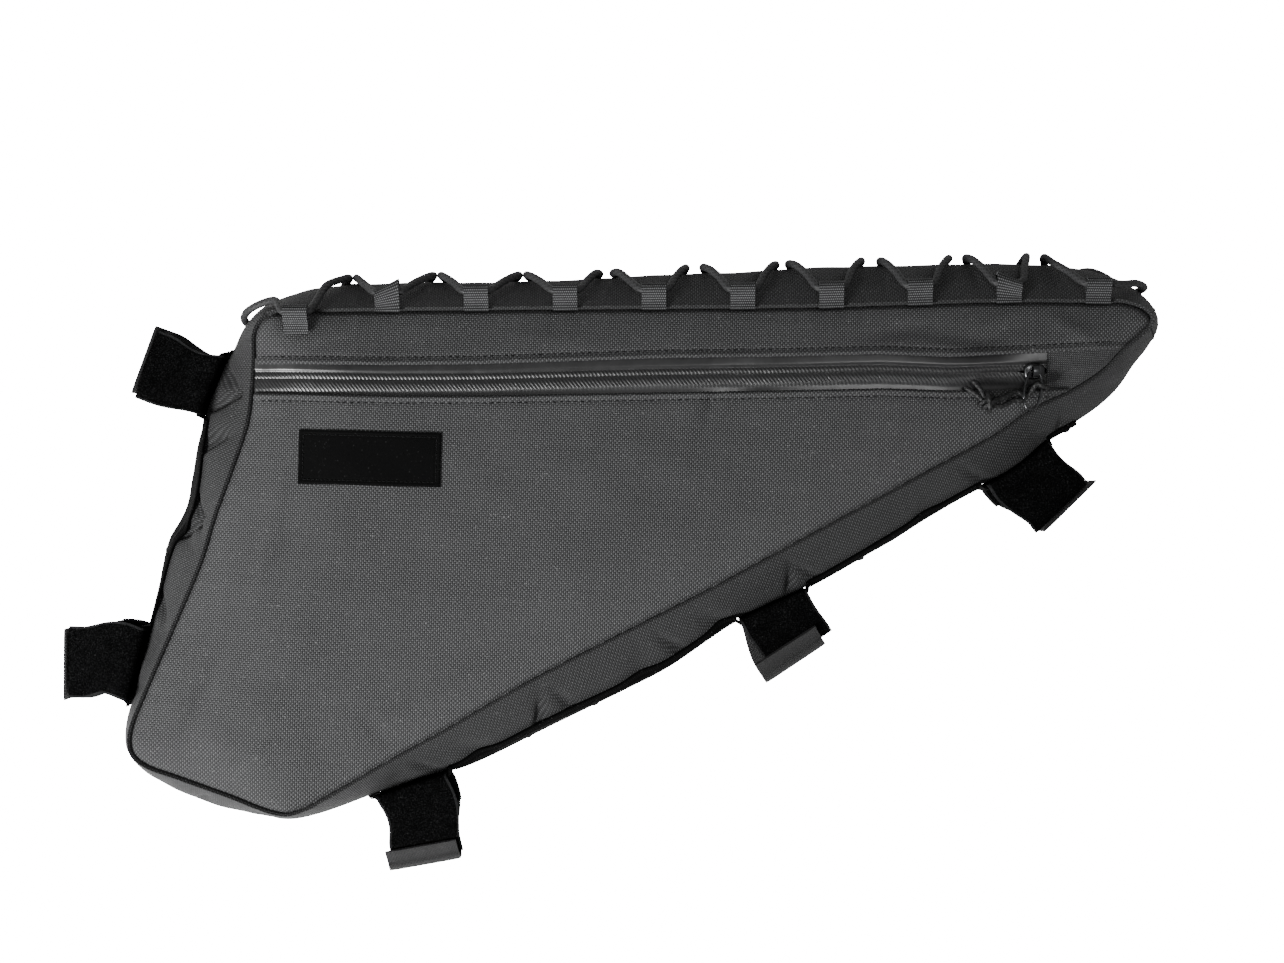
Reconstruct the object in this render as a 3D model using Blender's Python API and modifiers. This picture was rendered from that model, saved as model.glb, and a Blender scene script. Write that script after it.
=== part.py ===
"""Bicycle frame bag: a flat, slack cloth bag lying on its back, with its zip, lacing and straps.

Metres, +Z up. The origin is on the underside of the back panel. +X points along the top edge
to the nose of the bag, +Y to the laced top edge, and the bag lies on z = 0.
"""
import math

import bmesh
import bpy
import numpy as np
from mathutils import Matrix, Vector

# The bag's own sizes
BAG_LENGTH = 0.528
BAG_HEIGHT = 0.264
SEAM_HEIGHT = 0.036
BELLY = 0.024
DOME = 0.0095
FOLD_DEPTH = 0.0035
CLOTH = 0.0015
GAP = 0.0003

# Zip
ZIP_OPENING = 0.0172
ZIP_UNDERLAP = 0.003
ZIP_TAPE = 0.0009
CHAIN_WIDTH = 0.0055
CHAIN_THICKNESS = 0.0018
SLIDER_LENGTH = 0.011
SLIDER_WIDTH = 0.0085
SLIDER_PLATE = 0.0014
CROWN_RISE = 0.0036
RING_LENGTH = 0.0215
RING_WIDTH = 0.0105
RING_WIRE = 0.0015
PULL_CORD = 0.0026
KNOT_LENGTH = 0.015
KNOT_WIDTH = 0.0092
KNOT_HEIGHT = 0.0068
KNOT_FROM_SLIDER = 0.0245
KNOT_BELOW_ZIP = 0.0155
KNOT_TURN = math.radians(-24)

# Label
LABEL_WIDTH = 0.074
LABEL_HEIGHT = 0.028
LABEL_THICKNESS = 0.0007

# Lacing
LACE_DIAMETER = 0.004
LACE_LOOP_WIDTH = 0.0127
LACE_LOOP_REACH = 0.0097
LACE_LOOP_THICKNESS = 0.0008
LACE_LOOP_SLACK = 0.0007
LACE_LOOP_CLASP = math.radians(112)
BACK_LOOP_SHARE = 1.3

# Webbing and straps
WEBBING_WIDTH = 0.019
WEBBING_THICKNESS = 0.0014
STRAP_WIDTH = 0.038
STRAP_THICKNESS = 0.0016
STRAP_REACH = 0.040
STRAP_CLEARANCE = 0.0005

# Places along the bag
ZIP_SLIDER_AT = 0.385
LABEL_AT = (-0.266, 0.045)
LABEL_TURN = math.radians(-1.5)
ZIP_STEP = 0.020
WEBBING_STEP = 0.0125
NEAR_STEPS = 5
FIRST_LOOP_AT = 0.033
LAST_LOOP_AT = 0.933

# The side cloth is a rounded wedge in section: 1 is a sharp wedge and 2 a parabola
GUSSET_ROUND = 1.5
SEAM_OPENING = 1.5 * CLOTH
CORNER_OPENING = 0.8 * CLOTH
BACK_SEAM_HEIGHT = CLOTH + GAP
DOME_ROLL = 0.024
STATION_STEP = 0.022
SECTION_STEPS = 6
LOOP_STEPS = 7
CURVE_STEP = 0.0008
TANGENT_STEP = 0.003
CROSSING_STEPS = 2000
UNDER_CLOTH = 1.2 * CLOTH + 1.5 * GAP
RING_OPENS_AT = math.radians(125)
RING_ALONG = (-0.20, -0.94, 0.28)
RING_ACROSS = (-0.97, 0.20, 0.0)
RING_SQUARENESS = 0.75

# Shares of the slider's length, from its middle or along the zip
TAB_FROM_SLIDER = 0.62
NEAR_FROM_SLIDER = 0.75
CHAIN_FROM_SLIDER = 0.55
OPEN_FROM_SLIDER = 0.30
PARTING_RUN = 0.45
PARTING_WIDTH = 0.11
POST_SIDE = 0.13
POST_AT = 0.05
LOWER_LENGTH = 0.8
BRIDGE_LENGTH = 0.26
# Shares of the slider's width, of its plate and of the ring's wire
LOWER_WIDTH = 0.9
BRIDGE_WIDTH = 0.84
PLATE_ROUND = 0.3
LOWER_PLATE = 0.8
POST_BITE = 0.6
CROWN_WALL = 0.8
# Shares of the cloth's thickness and of the tape's
ZIP_FROM_SEAM = 2
TAB_FROM_SEAM = 2.5
CHAIN_DEPTH = 1.1
RING_NEAR_WIRE = math.radians(118)
RING_FAR_WIRE = math.radians(-72)

# Front seam, clockwise from the top left corner:
# name, x / BAG_LENGTH, y / BAG_HEIGHT, height / SEAM_HEIGHT, belly / BELLY
OUTLINE = [
    ("top_left", -0.366, 0.325, 1.14, 0.36),
    ("", -0.331, 0.330, 1.10, 0.60),
    ("", -0.258, 0.334, 1.02, 0.69),
    ("", -0.114, 0.337, 1.00, 0.70),
    ("", 0.013, 0.339, 0.98, 0.82),
    ("", 0.114, 0.340, 1.00, 0.90),
    ("", 0.188, 0.342, 1.01, 0.97),
    ("", 0.280, 0.348, 1.00, 0.94),
    ("", 0.366, 0.352, 1.00, 0.93),
    ("", 0.452, 0.350, 1.02, 0.78),
    ("", 0.473, 0.350, 1.04, 0.60),
    ("", 0.494, 0.334, 1.06, 0.42),
    ("nose", 0.500, 0.316, 1.06, 0.36),
    ("", 0.493, 0.298, 1.04, 0.42),
    ("", 0.475, 0.265, 1.02, 0.52),
    ("", 0.455, 0.223, 1.00, 0.62),
    ("", 0.427, 0.186, 1.00, 0.72),
    ("", 0.387, 0.147, 1.00, 0.80),
    ("", 0.350, 0.096, 0.99, 0.88),
    ("", 0.294, 0.035, 1.00, 0.88),
    ("", 0.155, -0.115, 1.00, 1.02),
    ("", 0.072, -0.205, 0.98, 0.92),
    ("", -0.005, -0.283, 0.98, 1.14),
    ("", -0.112, -0.393, 1.00, 1.06),
    ("", -0.193, -0.486, 1.03, 0.92),
    ("", -0.246, -0.544, 1.07, 0.70),
    ("", -0.297, -0.602, 1.14, 0.46),
    ("", -0.331, -0.638, 1.20, 0.32),
    ("lower_corner", -0.347, -0.647, 1.22, 0.28),
    ("", -0.364, -0.642, 1.20, 0.32),
    ("", -0.405, -0.613, 1.13, 0.48),
    ("", -0.455, -0.577, 1.13, 0.48),
    ("", -0.487, -0.551, 1.18, 0.36),
    ("left_end", -0.498, -0.528, 1.20, 0.32),
    ("", -0.499, -0.491, 1.18, 0.34),
    ("", -0.486, -0.415, 1.10, 0.44),
    ("", -0.461, -0.294, 1.02, 0.66),
    ("", -0.432, -0.153, 0.99, 0.88),
    ("", -0.420, -0.072, 0.98, 0.68),
    ("", -0.400, 0.038, 0.99, 0.96),
    ("", -0.387, 0.117, 1.00, 1.10),
    ("", -0.383, 0.173, 1.01, 1.00),
    ("", -0.380, 0.243, 1.05, 0.74),
    ("", -0.378, 0.295, 1.12, 0.44),
]

# Zip line: x / BAG_LENGTH, y / BAG_HEIGHT of the meeting line, opening / ZIP_OPENING
ZIP_LINE = [
    (-0.400, 0.203, 0.85),
    (-0.250, 0.198, 0.91),
    (-0.160, 0.199, 0.94),
    (0.016, 0.208, 1.03),
    (0.150, 0.212, 1.02),
    (0.234, 0.216, 1.03),
    (0.301, 0.211, 1.00),
    (0.380, 0.216, 1.09),
    (0.480, 0.224, 1.15),
]

# Soft folds of the front face: x / BAG_LENGTH, y / BAG_HEIGHT, direction in degrees,
# half length / BAG_HEIGHT, half width / BAG_HEIGHT, depth / FOLD_DEPTH
FACE_FOLDS = [
    (0.375, 0.300, 20, 0.10, 0.030, -0.55),
    (0.290, 0.285, -12, 0.16, 0.032, -0.45),
    (0.150, 0.290, 4, 0.20, 0.030, -0.25),
    (-0.240, 0.275, 8, 0.16, 0.030, -0.25),
    (0.085, 0.120, 62, 0.13, 0.045, -0.35),
    (0.230, 0.090, 30, 0.20, 0.045, 0.35),
    (-0.050, -0.200, 35, 0.28, 0.070, 0.45),
    (-0.150, -0.330, 28, 0.22, 0.050, -0.40),
    (-0.340, -0.300, 72, 0.26, 0.080, 0.55),
    (-0.400, -0.480, 40, 0.14, 0.050, 0.60),
    (-0.300, -0.560, -62, 0.12, 0.045, -0.50),
    (-0.330, 0.080, 84, 0.20, 0.050, -0.30),
]

# Creases of the side cloth: edge, share along it, slant across the cloth as a share of the edge,
# half width as a share of the edge, depth / BELLY
GUSSET_FOLDS = [
    ("top", 0.10, 0.020, 0.012, 0.10),
    ("top", 0.43, -0.030, 0.016, 0.08),
    ("top", 0.68, 0.025, 0.014, 0.09),
    ("top", 0.90, -0.015, 0.010, 0.12),
    ("down", 0.06, 0.020, 0.012, 0.12),
    ("down", 0.30, -0.030, 0.014, 0.09),
    ("down", 0.52, 0.030, 0.012, 0.14),
    ("down", 0.63, -0.025, 0.016, 0.10),
    ("down", 0.80, 0.035, 0.014, 0.14),
    ("down", 0.90, -0.020, 0.012, 0.12),
    ("bottom", 0.30, 0.050, 0.060, 0.10),
    ("bottom", 0.80, -0.060, 0.050, 0.10),
    ("seat", 0.20, 0.040, 0.030, 0.10),
    ("seat", 0.50, -0.050, 0.022, 0.16),
    ("seat", 0.78, 0.050, 0.030, 0.14),
]

# Arcs of the lace between one front loop and the next: shift of the arc / pitch,
# half spread where it rounds the belly / pitch, stand-off from the cloth / LACE_DIAMETER
LACE_ARCS = [
    (0.06, 0.050, 0.95),
    (0.02, 0.050, 1.05),
    (0.00, 0.050, 0.95),
    (-0.04, 0.075, 0.75),
    (-0.03, 0.095, 1.05),
    (-0.02, 0.070, 0.90),
    (0.01, 0.105, 0.85),
    (0.00, 0.095, 1.05),
    (-0.13, 0.100, 1.45),
]
# Lace from a front loop up to the belly: share of the way, height up the side cloth,
# stand-off / LACE_DIAMETER
LACE_RISE = [
    (0.40, 0.720, 0.55),
    (0.78, 0.585, 0.45),
]
# Lace from the belly down to a back loop, in the same way
LACE_FALL = [
    (0.50, 0.34, 0.38),
    (1.00, 0.20, 0.18),
]
# Ends of the lace: by the top left corner, its place / LACE_DIAMETER, and by the nose, its place
# from the last front loop / pitch; then height up the side cloth and stand-off / LACE_DIAMETER
LACE_START = [
    (-2.5, 0.22, 0.15),
    (-2.0, 0.50, 0.30),
    (-1.0, 0.72, 0.45),
    (1.0, 0.90, 0.30),
]
LACE_END = [
    (0.13, 0.86, 0.60),
    (0.26, 0.70, 0.50),
    (0.35, 0.48, 0.45),
    (0.30, 0.24, 0.35),
    (0.18, 0.30, 0.35),
    (0.06, 0.48, 0.50),
    (-0.12, 0.56, 0.55),
    (-0.30, 0.46, 0.40),
    (-0.40, 0.26, 0.25),
]

# Doubled pull cord, from the knot to the ring and back: the point it is held from, then its shift
# across the ring, along the ring and upwards, all / PULL_CORD
PULL_ROUTE = [
    ("knot", 2.50, -0.74, -0.15),
    ("near", 1.54, 0.83, -1.25),
    ("near", 0.00, 0.55, -1.02),
    ("far", 1.31, 0.22, -1.02),
    ("far", 0.00, 0.00, -1.02),
    ("far", -1.14, 0.00, 0.00),
    ("far", 0.00, 0.00, 1.02),
    ("far", 1.08, -0.22, 0.77),
    ("near", -0.92, -0.66, -0.79),
    ("near", 0.00, -0.66, -1.02),
    ("near", 1.54, -0.88, -1.02),
    ("knot", 2.50, 0.74, 0.08),
]
# Tips of the cord's two tails from the middle of the knot, in x and y / KNOT_LENGTH
PULL_TAILS = [
    (-0.77, 0.57),
    (-0.50, 0.77),
]

# Straps: name, edge, share along it, lean in degrees, reach / STRAP_REACH,
# height of the fold / BELLY, lower layer's slip sideways / STRAP_WIDTH, hook band / STRAP_WIDTH
STRAPS = [
    ("strap_1", "seat", 0.823, -14, 1.06, 0.34, 0.05, 0.0),
    ("strap_2", "seat", 0.170, 22, 1.08, 0.34, -0.04, 0.0),
    ("strap_3", "down", 0.883, -19, 1.14, 0.34, 0.06, 0.28),
    ("strap_4", "down", 0.473, 5, 0.86, 0.34, 0.18, 0.30),
    ("strap_5", "down", 0.187, 11, 0.86, 0.80, -0.10, 0.0),
]
# Free part of a fuzzy tape, from near its end to the webbing: distance out / reach,
# share of the drop from webbing to fold, share of the bow upwards
FUZZY_RUN = [
    (0.76, 0.16, 1.0),
    (0.55, 0.46, 1.0),
    (0.34, 0.80, 0.6),
]
# Turn of the fuzzy tape over the webbing's edge: distance out / bend, distance in from the edge / bend
FUZZY_TURN = [
    (0.25, 0.35),
    (0.0, 1.3),
]
# Fuzzy tape's lower end: distance out / reach, shares of its root's height and of the lowest layer
FUZZY_END = (0.40, 0.55, 0.45)
# Hook tape near the bag: distance out / reach and height / that of its root; then where it lies flat
HOOK_FALL = (0.30, 0.75)
HOOK_FLAT = (0.45, 0.70)
# Hook tape's bends: distance in from the reach / tape, rise or fall / tape
HOOK_LOW_TURN = [
    (2.4, 0.0),
    (0.9, 0.2),
    (0.0, 1.0),
]
HOOK_TOP_TURN = [
    (0.0, 0.9),
    (0.9, 0.1),
]
HOOK_PLAIN_END = [
    (-0.1, 0.2),
    (0.1, 0.9),
]
# Shares of the tape's thickness
NOSE_BULGE = 0.2
BAND_FROM = 2.4
BAND_TUCK = 2.2
PLAIN_TUCK = 1.4
BEND = 0.8
# A strap folded higher than this share of the belly bows up by this share of its reach
BOWED_FROM = 0.5
BOW = 0.10

# Webbing: name, edge, first and last share along it
WEBBINGS = [
    ("webbing_seat", "seat", 0.08, 0.92),
    ("webbing_down", "down", 0.11, 0.95),
]
# How the webbing lies where no strap passes: edge, share along it, stand-off of its upper edge
# from the belly / STRAP_CLEARANCE, further stand-off of its lower edge / WEBBING_WIDTH
WEBBING_LIE = [
    ("seat", 0.00, 1.0, 0.02),
    ("seat", 0.30, 2.0, 0.10),
    ("seat", 0.42, 1.0, 0.02),
    ("seat", 0.56, 3.0, 0.22),
    ("seat", 0.70, 2.5, 0.10),
    ("seat", 1.00, 1.0, 0.02),
    ("down", 0.00, 1.0, 0.02),
    ("down", 0.12, 1.5, 0.06),
    ("down", 0.40, 1.5, 0.10),
    ("down", 0.60, 1.0, 0.02),
    ("down", 0.75, 2.0, 0.14),
    ("down", 1.00, 1.0, 0.02),
]


def spline(rows, i, t):
    """Point at share t of the stretch from row i to row i + 1, on a closed centripetal spline."""
    p = [np.array(rows[(i + k) % len(rows)], dtype=float) for k in (-1, 0, 1, 2)]
    knots = [0.0]
    for a, b in zip(p, p[1:]):
        knots.append(knots[-1] + max(np.linalg.norm((b - a)[:2]), 1e-6) ** 0.5)
    x = knots[1] + t * (knots[2] - knots[1])

    def blend(a, b, first, last):
        share = (x - first) / (last - first)
        return a * (1 - share) + b * share

    a = [blend(p[k], p[k + 1], knots[k], knots[k + 1]) for k in range(3)]
    b = [blend(a[k], a[k + 1], knots[k], knots[k + 2]) for k in range(2)]
    return blend(b[0], b[1], knots[1], knots[2])


class Outline:
    """The closed front seam: plan position, height and belly by length along it."""

    def __init__(self):
        rows = []
        for _, x, y, height, belly in OUTLINE:
            rows.append((x * BAG_LENGTH, y * BAG_HEIGHT, height * SEAM_HEIGHT, belly * BELLY))
        points = []
        row_index = []
        for i, row in enumerate(rows):
            after = rows[(i + 1) % len(rows)]
            steps = max(2, round(math.dist(row[:2], after[:2]) / CURVE_STEP))
            row_index.append(len(points))
            points.extend(spline(rows, i, k / steps) for k in range(steps))
        points.append(points[0])
        self.points = np.array(points)
        lengths = np.linalg.norm(np.diff(self.points[:, :2], axis=0), axis=1)
        self.at_length = np.concatenate([[0.0], np.cumsum(lengths)])
        self.total = float(self.at_length[-1])
        self.middles = (self.points[1:] + self.points[:-1]) / 2
        self.weights = lengths
        self.row_at = [float(self.at_length[i]) for i in row_index]
        self.marks = {row[0]: at for row, at in zip(OUTLINE, self.row_at) if row[0]}

    def at(self, s):
        s = s % self.total
        return [float(np.interp(s, self.at_length, self.points[:, k])) for k in range(4)]

    def tangent(self, s):
        before = self.at(s - TANGENT_STEP)
        after = self.at(s + TANGENT_STEP)
        return Vector((after[0] - before[0], after[1] - before[1], 0.0)).normalized()

    def normal(self, s):
        tangent = self.tangent(s)
        return Vector((-tangent.y, tangent.x, 0.0))

    def span(self, edge):
        first, last = EDGES[edge]
        start = self.marks[first]
        end = self.marks[last]
        if end <= start:
            end += self.total
        return start, end

    def along(self, edge, share):
        start, end = self.span(edge)
        return start + (end - start) * share

    def stations(self, start, end, step):
        """Lengths from start to end: the rows of the table and even steps between them."""
        stops = [start]
        for turn in (0.0, self.total):
            for at in self.row_at:
                if start + step * 0.12 < at + turn < end - step * 0.12:
                    stops.append(at + turn)
        stops.append(end)
        stops.sort()
        result = [start]
        for a, b in zip(stops, stops[1:]):
            count = max(1, round((b - a) / step))
            result.extend(a + (b - a) * k / count for k in range(1, count + 1))
        return result

    def near(self, x, y):
        """Smooth distance to the seam, and the height of the seam carried inwards."""
        away = np.hypot(self.middles[:, 0] - x, self.middles[:, 1] - y)
        pull = self.weights / np.maximum(away, 1e-5) ** 4
        total = float(pull.sum())
        distance = (total / (math.pi / 2)) ** (-1 / 3)
        height = float((pull * self.middles[:, 2]).sum()) / total
        return distance, height

    def crossing(self, edge, level):
        """Length along the seam where an edge meets the line y = level(x)."""
        start, end = self.span(edge)
        before = None
        for k in range(CROSSING_STEPS + 1):
            s = start + (end - start) * k / CROSSING_STEPS
            x, y, _, _ = self.at(s)
            above = y - level(x)
            if before is not None and above * before <= 0:
                return s
            before = above
        raise ValueError("the seam never meets that line")

    def right_side(self, y):
        """x of the seam at a height y, on the side below the nose."""
        return self.at(self.crossing("down", lambda x: y))[0]


EDGES = {
    "top": ("top_left", "nose"),
    "down": ("nose", "lower_corner"),
    "bottom": ("lower_corner", "left_end"),
    "seat": ("left_end", "top_left"),
}
outline = Outline()


def face_height(x, y):
    """Height of the front face at a place in plan: the seam, a soft dome and its folds."""
    distance, height = outline.near(x, y)
    rise = DOME * (1 - math.exp(-distance / DOME_ROLL))
    inside = min(1.0, distance / DOME_ROLL)
    for at_x, at_y, degrees, length, width, depth in FACE_FOLDS:
        dx = x - at_x * BAG_LENGTH
        dy = y - at_y * BAG_HEIGHT
        turn = math.radians(degrees)
        along = (dx * math.cos(turn) + dy * math.sin(turn)) / (length * BAG_HEIGHT)
        across = (dy * math.cos(turn) - dx * math.sin(turn)) / (width * BAG_HEIGHT)
        rise += depth * FOLD_DEPTH * inside * math.exp(-along ** 2 - across ** 2)
    return height + rise


def gusset_point(s, w):
    """Outer surface of the side cloth: s along the seam, w from the back seam to the front."""
    x, y, seam_height, belly = outline.at(s)
    side = 2 * w - 1
    bulge = 1 - abs(side) ** GUSSET_ROUND
    reach = SEAM_OPENING + (belly - SEAM_OPENING) * bulge
    for edge, share, slant, width, depth in GUSSET_FOLDS:
        start, end = outline.span(edge)
        length = end - start
        centre = start + (share + slant * side) * length
        away = (s - centre + outline.total / 2) % outline.total - outline.total / 2
        crease = math.exp(-(away / (width * length)) ** 2)
        reach -= depth * belly * crease * bulge * abs(math.sin(math.tau * w))
    height = BACK_SEAM_HEIGHT + (seam_height - BACK_SEAM_HEIGHT) * w
    out = outline.normal(s)
    return Vector((x, y, height)) + out * reach


def gusset_outward(s, w, lift):
    """A point held off the side cloth by lift, square to its section."""
    step = 0.02
    low = gusset_point(s, max(0.0, w - step))
    high = gusset_point(s, min(1.0, w + step))
    rise = (high - low).normalized()
    away = outline.tangent(s).cross(rise).normalized()
    out = outline.normal(s)
    if away.dot(out) < 0:
        away = -away
    return gusset_point(s, w) + away * lift


def zip_line(x):
    """Height of the zip's meeting line in plan, and half of its opening."""
    xs = [row[0] * BAG_LENGTH for row in ZIP_LINE]
    ys = [row[1] * BAG_HEIGHT for row in ZIP_LINE]
    openings = [row[2] * ZIP_OPENING for row in ZIP_LINE]
    return float(np.interp(x, xs, ys)), float(np.interp(x, xs, openings)) / 2


def upper_welt(x):
    middle, half = zip_line(x)
    return middle + half


def lower_welt(x):
    middle, half = zip_line(x)
    return middle - half


def clear_scene():
    for item in list(bpy.data.objects):
        bpy.data.objects.remove(item, do_unlink=True)


def new_collection(name):
    collection = bpy.data.collections.new(name)
    bpy.context.scene.collection.children.link(collection)
    return collection


def material(name, colour, roughness, metallic=0.0):
    result = bpy.data.materials.new(name)
    result.use_nodes = True
    shader = result.node_tree.nodes["Principled BSDF"]
    shader.inputs["Base Color"].default_value = (*colour, 1.0)
    shader.inputs["Roughness"].default_value = roughness
    shader.inputs["Metallic"].default_value = metallic
    return result


def add_object(name, data, finish):
    data.materials.clear()
    data.materials.append(finish)
    item = bpy.data.objects.new(name, data)
    parts.objects.link(item)
    return item


def sheet(name, columns, rows, place, thickness, finish, offset=-1.0):
    """A grid whose vertices go to place(u, v), thickened away from its face."""
    grid = bmesh.new()
    bmesh.ops.create_grid(grid, x_segments=columns, y_segments=rows, size=0.5)
    for vertex in grid.verts:
        vertex.co = place(round((vertex.co.x + 0.5) * columns), round((vertex.co.y + 0.5) * rows))
    mesh = bpy.data.meshes.new(name)
    grid.to_mesh(mesh)
    grid.free()
    mesh.shade_smooth()
    item = add_object(name, mesh, finish)
    wall = item.modifiers.new("Wall", "SOLIDIFY")
    wall.thickness = thickness
    wall.offset = offset
    wall.use_even_offset = True
    return item


def tube(name, points, diameter, finish, closed=False, resolution=2):
    """A round cord or wire along points."""
    curve = bpy.data.curves.new(name, "CURVE")
    curve.dimensions = "3D"
    curve.bevel_depth = diameter / 2
    curve.bevel_resolution = resolution
    curve.render_resolution_u = 0
    curve.use_fill_caps = True
    path = curve.splines.new("POLY")
    path.points.add(len(points) - 1)
    for point, place in zip(path.points, points):
        point.co = (*place, 1.0)
    path.use_cyclic_u = closed
    return add_object(name, curve, finish)


def smooth_path(points, step):
    """Points about a step apart on a smooth curve through the given ones."""
    result = []
    for i in range(len(points) - 1):
        count = max(1, round(math.dist(points[i], points[i + 1]) / step))
        for k in range(count):
            result.append(spline_3d(points, i, k / count))
    result.append(Vector(points[-1]))
    return result


def spline_3d(points, i, t):
    """Point on a uniform cubic through a list of places in space."""
    last = len(points) - 1
    p1 = Vector(points[i])
    p2 = Vector(points[i + 1])
    p0 = Vector(points[i - 1]) if i > 0 else 2 * p1 - p2
    p3 = Vector(points[i + 2]) if i + 2 <= last else 2 * p2 - p1
    knots = [0.0]
    for a, b in ((p0, p1), (p1, p2), (p2, p3)):
        knots.append(knots[-1] + max((b - a).length, 1e-6) ** 0.5)
    x = knots[1] + t * (knots[2] - knots[1])

    def blend(a, b, first, end):
        return a.lerp(b, (x - first) / (end - first))

    a = [blend(*pair) for pair in ((p0, p1, knots[0], knots[1]), (p1, p2, knots[1], knots[2]),
                                   (p2, p3, knots[2], knots[3]))]
    b = [blend(a[0], a[1], knots[0], knots[2]), blend(a[1], a[2], knots[1], knots[3])]
    return blend(b[0], b[1], knots[1], knots[2])


def patch(left, right, bottom, top):
    """Plan point (u, v) of a four-sided patch between four edge functions."""
    def place(u, v):
        across = left(v).lerp(right(v), u)
        along = bottom(u).lerp(top(u), v)
        corners = left(0.0).lerp(right(0.0), u).lerp(left(1.0).lerp(right(1.0), u), v)
        return across + along - corners
    return place


def seam_edge(start, end):
    """Plan points along the seam, by share from start to end."""
    def place(share):
        x, y, _, _ = outline.at(start + (end - start) * share)
        return Vector((x, y))
    return place


def welt_edge(first, last, level):
    def place(share):
        x = first + (last - first) * share
        return Vector((x, level(x)))
    return place


def build_front_panel(cloth):
    """Face of the bag below the zip."""
    columns = 18
    rows = 15
    left_at = outline.crossing("seat", lower_welt)
    right_at = outline.crossing("down", lower_welt)
    corner = outline.marks["lower_corner"]
    end = outline.marks["left_end"]
    left_x = outline.at(left_at)[0]
    right_x = outline.at(right_at)[0]
    plan = patch(seam_edge(end, left_at), seam_edge(corner, right_at),
                 seam_edge(end, corner), welt_edge(left_x, right_x, lower_welt))

    def place(i, j):
        point = plan(i / columns, j / rows)
        return Vector((point.x, point.y, face_height(point.x, point.y)))

    return sheet("front_panel", columns, rows, place, CLOTH, cloth)


def build_fascia(cloth):
    """Narrow strip of the face between the zip and the top seam."""
    rows = 4
    left_at = outline.crossing("seat", upper_welt)
    right_at = outline.crossing("down", upper_welt)
    top_left = outline.marks["top_left"]
    nose = outline.marks["nose"]
    left_x = outline.at(left_at)[0]
    right_x = outline.at(right_at)[0]
    stations = outline.stations(top_left, nose, STATION_STEP)
    columns = len(stations) - 1
    shares = [(s - top_left) / (nose - top_left) for s in stations]
    plan = patch(seam_edge(left_at, top_left + (outline.total if left_at > top_left else 0)),
                 seam_edge(right_at, nose), welt_edge(left_x, right_x, upper_welt),
                 seam_edge(top_left, nose))

    def place(i, j):
        point = plan(shares[i], j / rows)
        return Vector((point.x, point.y, face_height(point.x, point.y)))

    return sheet("front_fascia", columns, rows, place, CLOTH, cloth)


def build_back_panel(cloth):
    """Flat back that the bag lies on, out to the back seam."""
    curve = bpy.data.curves.new("back_panel", "CURVE")
    curve.dimensions = "2D"
    curve.fill_mode = "BOTH"
    curve.extrude = CLOTH / 2
    curve.render_resolution_u = 0
    stations = outline.stations(0.0, outline.total, STATION_STEP)[:-1]
    edge = curve.splines.new("POLY")
    edge.points.add(len(stations) - 1)
    for point, s in zip(edge.points, stations):
        x, y, _, _ = outline.at(s)
        out = outline.normal(s) * SEAM_OPENING
        point.co = (x + out.x, y + out.y, 0.0, 1.0)
    edge.use_cyclic_u = True
    item = add_object("back_panel", curve, cloth)
    item.location.z = CLOTH / 2
    return item


def build_gusset(edge, cloth):
    """One length of the side cloth, between two corners of the bag."""
    start, end = outline.span(edge)
    stations = outline.stations(start + CORNER_OPENING / 2, end - CORNER_OPENING / 2, STATION_STEP)

    def place(i, j):
        return gusset_point(stations[i], 1 - j / SECTION_STEPS)

    return sheet("gusset_" + edge, len(stations) - 1, SECTION_STEPS, place, CLOTH, cloth)


def zip_surface(x, y, depth=0.0):
    return Vector((x, y, face_height(x, y) - UNDER_CLOTH - depth))


def slider_x():
    return ZIP_SLIDER_AT * BAG_LENGTH


def zip_left():
    seam_at = outline.crossing("seat", lambda x: zip_line(x)[0])
    return outline.at(seam_at)[0] + ZIP_FROM_SEAM * CLOTH


def tab_left():
    return slider_x() + SLIDER_LENGTH * TAB_FROM_SLIDER


def zip_stations():
    """Places along the zip from its left end to the tab, closer together at the slider."""
    first = zip_left()
    last = tab_left() - GAP
    near = slider_x() - SLIDER_LENGTH * NEAR_FROM_SLIDER
    count = round((near - first) / ZIP_STEP)
    result = [first + (near - first) * k / count for k in range(count + 1)]
    result.extend(near + (last - near) * k / NEAR_STEPS for k in range(1, NEAR_STEPS + 1))
    return result


def tape_parting(x):
    """Half of the gap between the tapes: closed, and open round the slider's post."""
    open_from = slider_x() - SLIDER_LENGTH * OPEN_FROM_SLIDER
    run = SLIDER_LENGTH * PARTING_RUN
    ramp = min(1.0, max(0.0, (x - open_from + run) / run))
    return GAP / 2 + ramp * (SLIDER_LENGTH * PARTING_WIDTH)


def build_zip_tape(name, sign, tape):
    """One coated tape, from the meeting line to under the cloth."""
    xs = zip_stations()
    rows = 2

    def place(i, j):
        x = xs[i]
        middle, half = zip_line(x)
        inner = tape_parting(x)
        outer = half + ZIP_UNDERLAP
        share = j / rows if sign > 0 else 1 - j / rows
        y = middle + sign * (inner + (outer - inner) * share)
        return zip_surface(x, y)

    return sheet(name, len(xs) - 1, rows, place, ZIP_TAPE, tape)


def build_zip_chain(tape):
    """Closed coil chain under the tapes, up to the slider."""
    xs = [x for x in zip_stations() if x < slider_x() - SLIDER_LENGTH * CHAIN_FROM_SLIDER]

    def place(i, j):
        x = xs[i]
        middle, _ = zip_line(x)
        y = middle + (j - 0.5) * CHAIN_WIDTH
        return zip_surface(x, y, ZIP_TAPE * CHAIN_DEPTH + GAP)

    return sheet("zip_chain", len(xs) - 1, 1, place, CHAIN_THICKNESS, tape)


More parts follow.
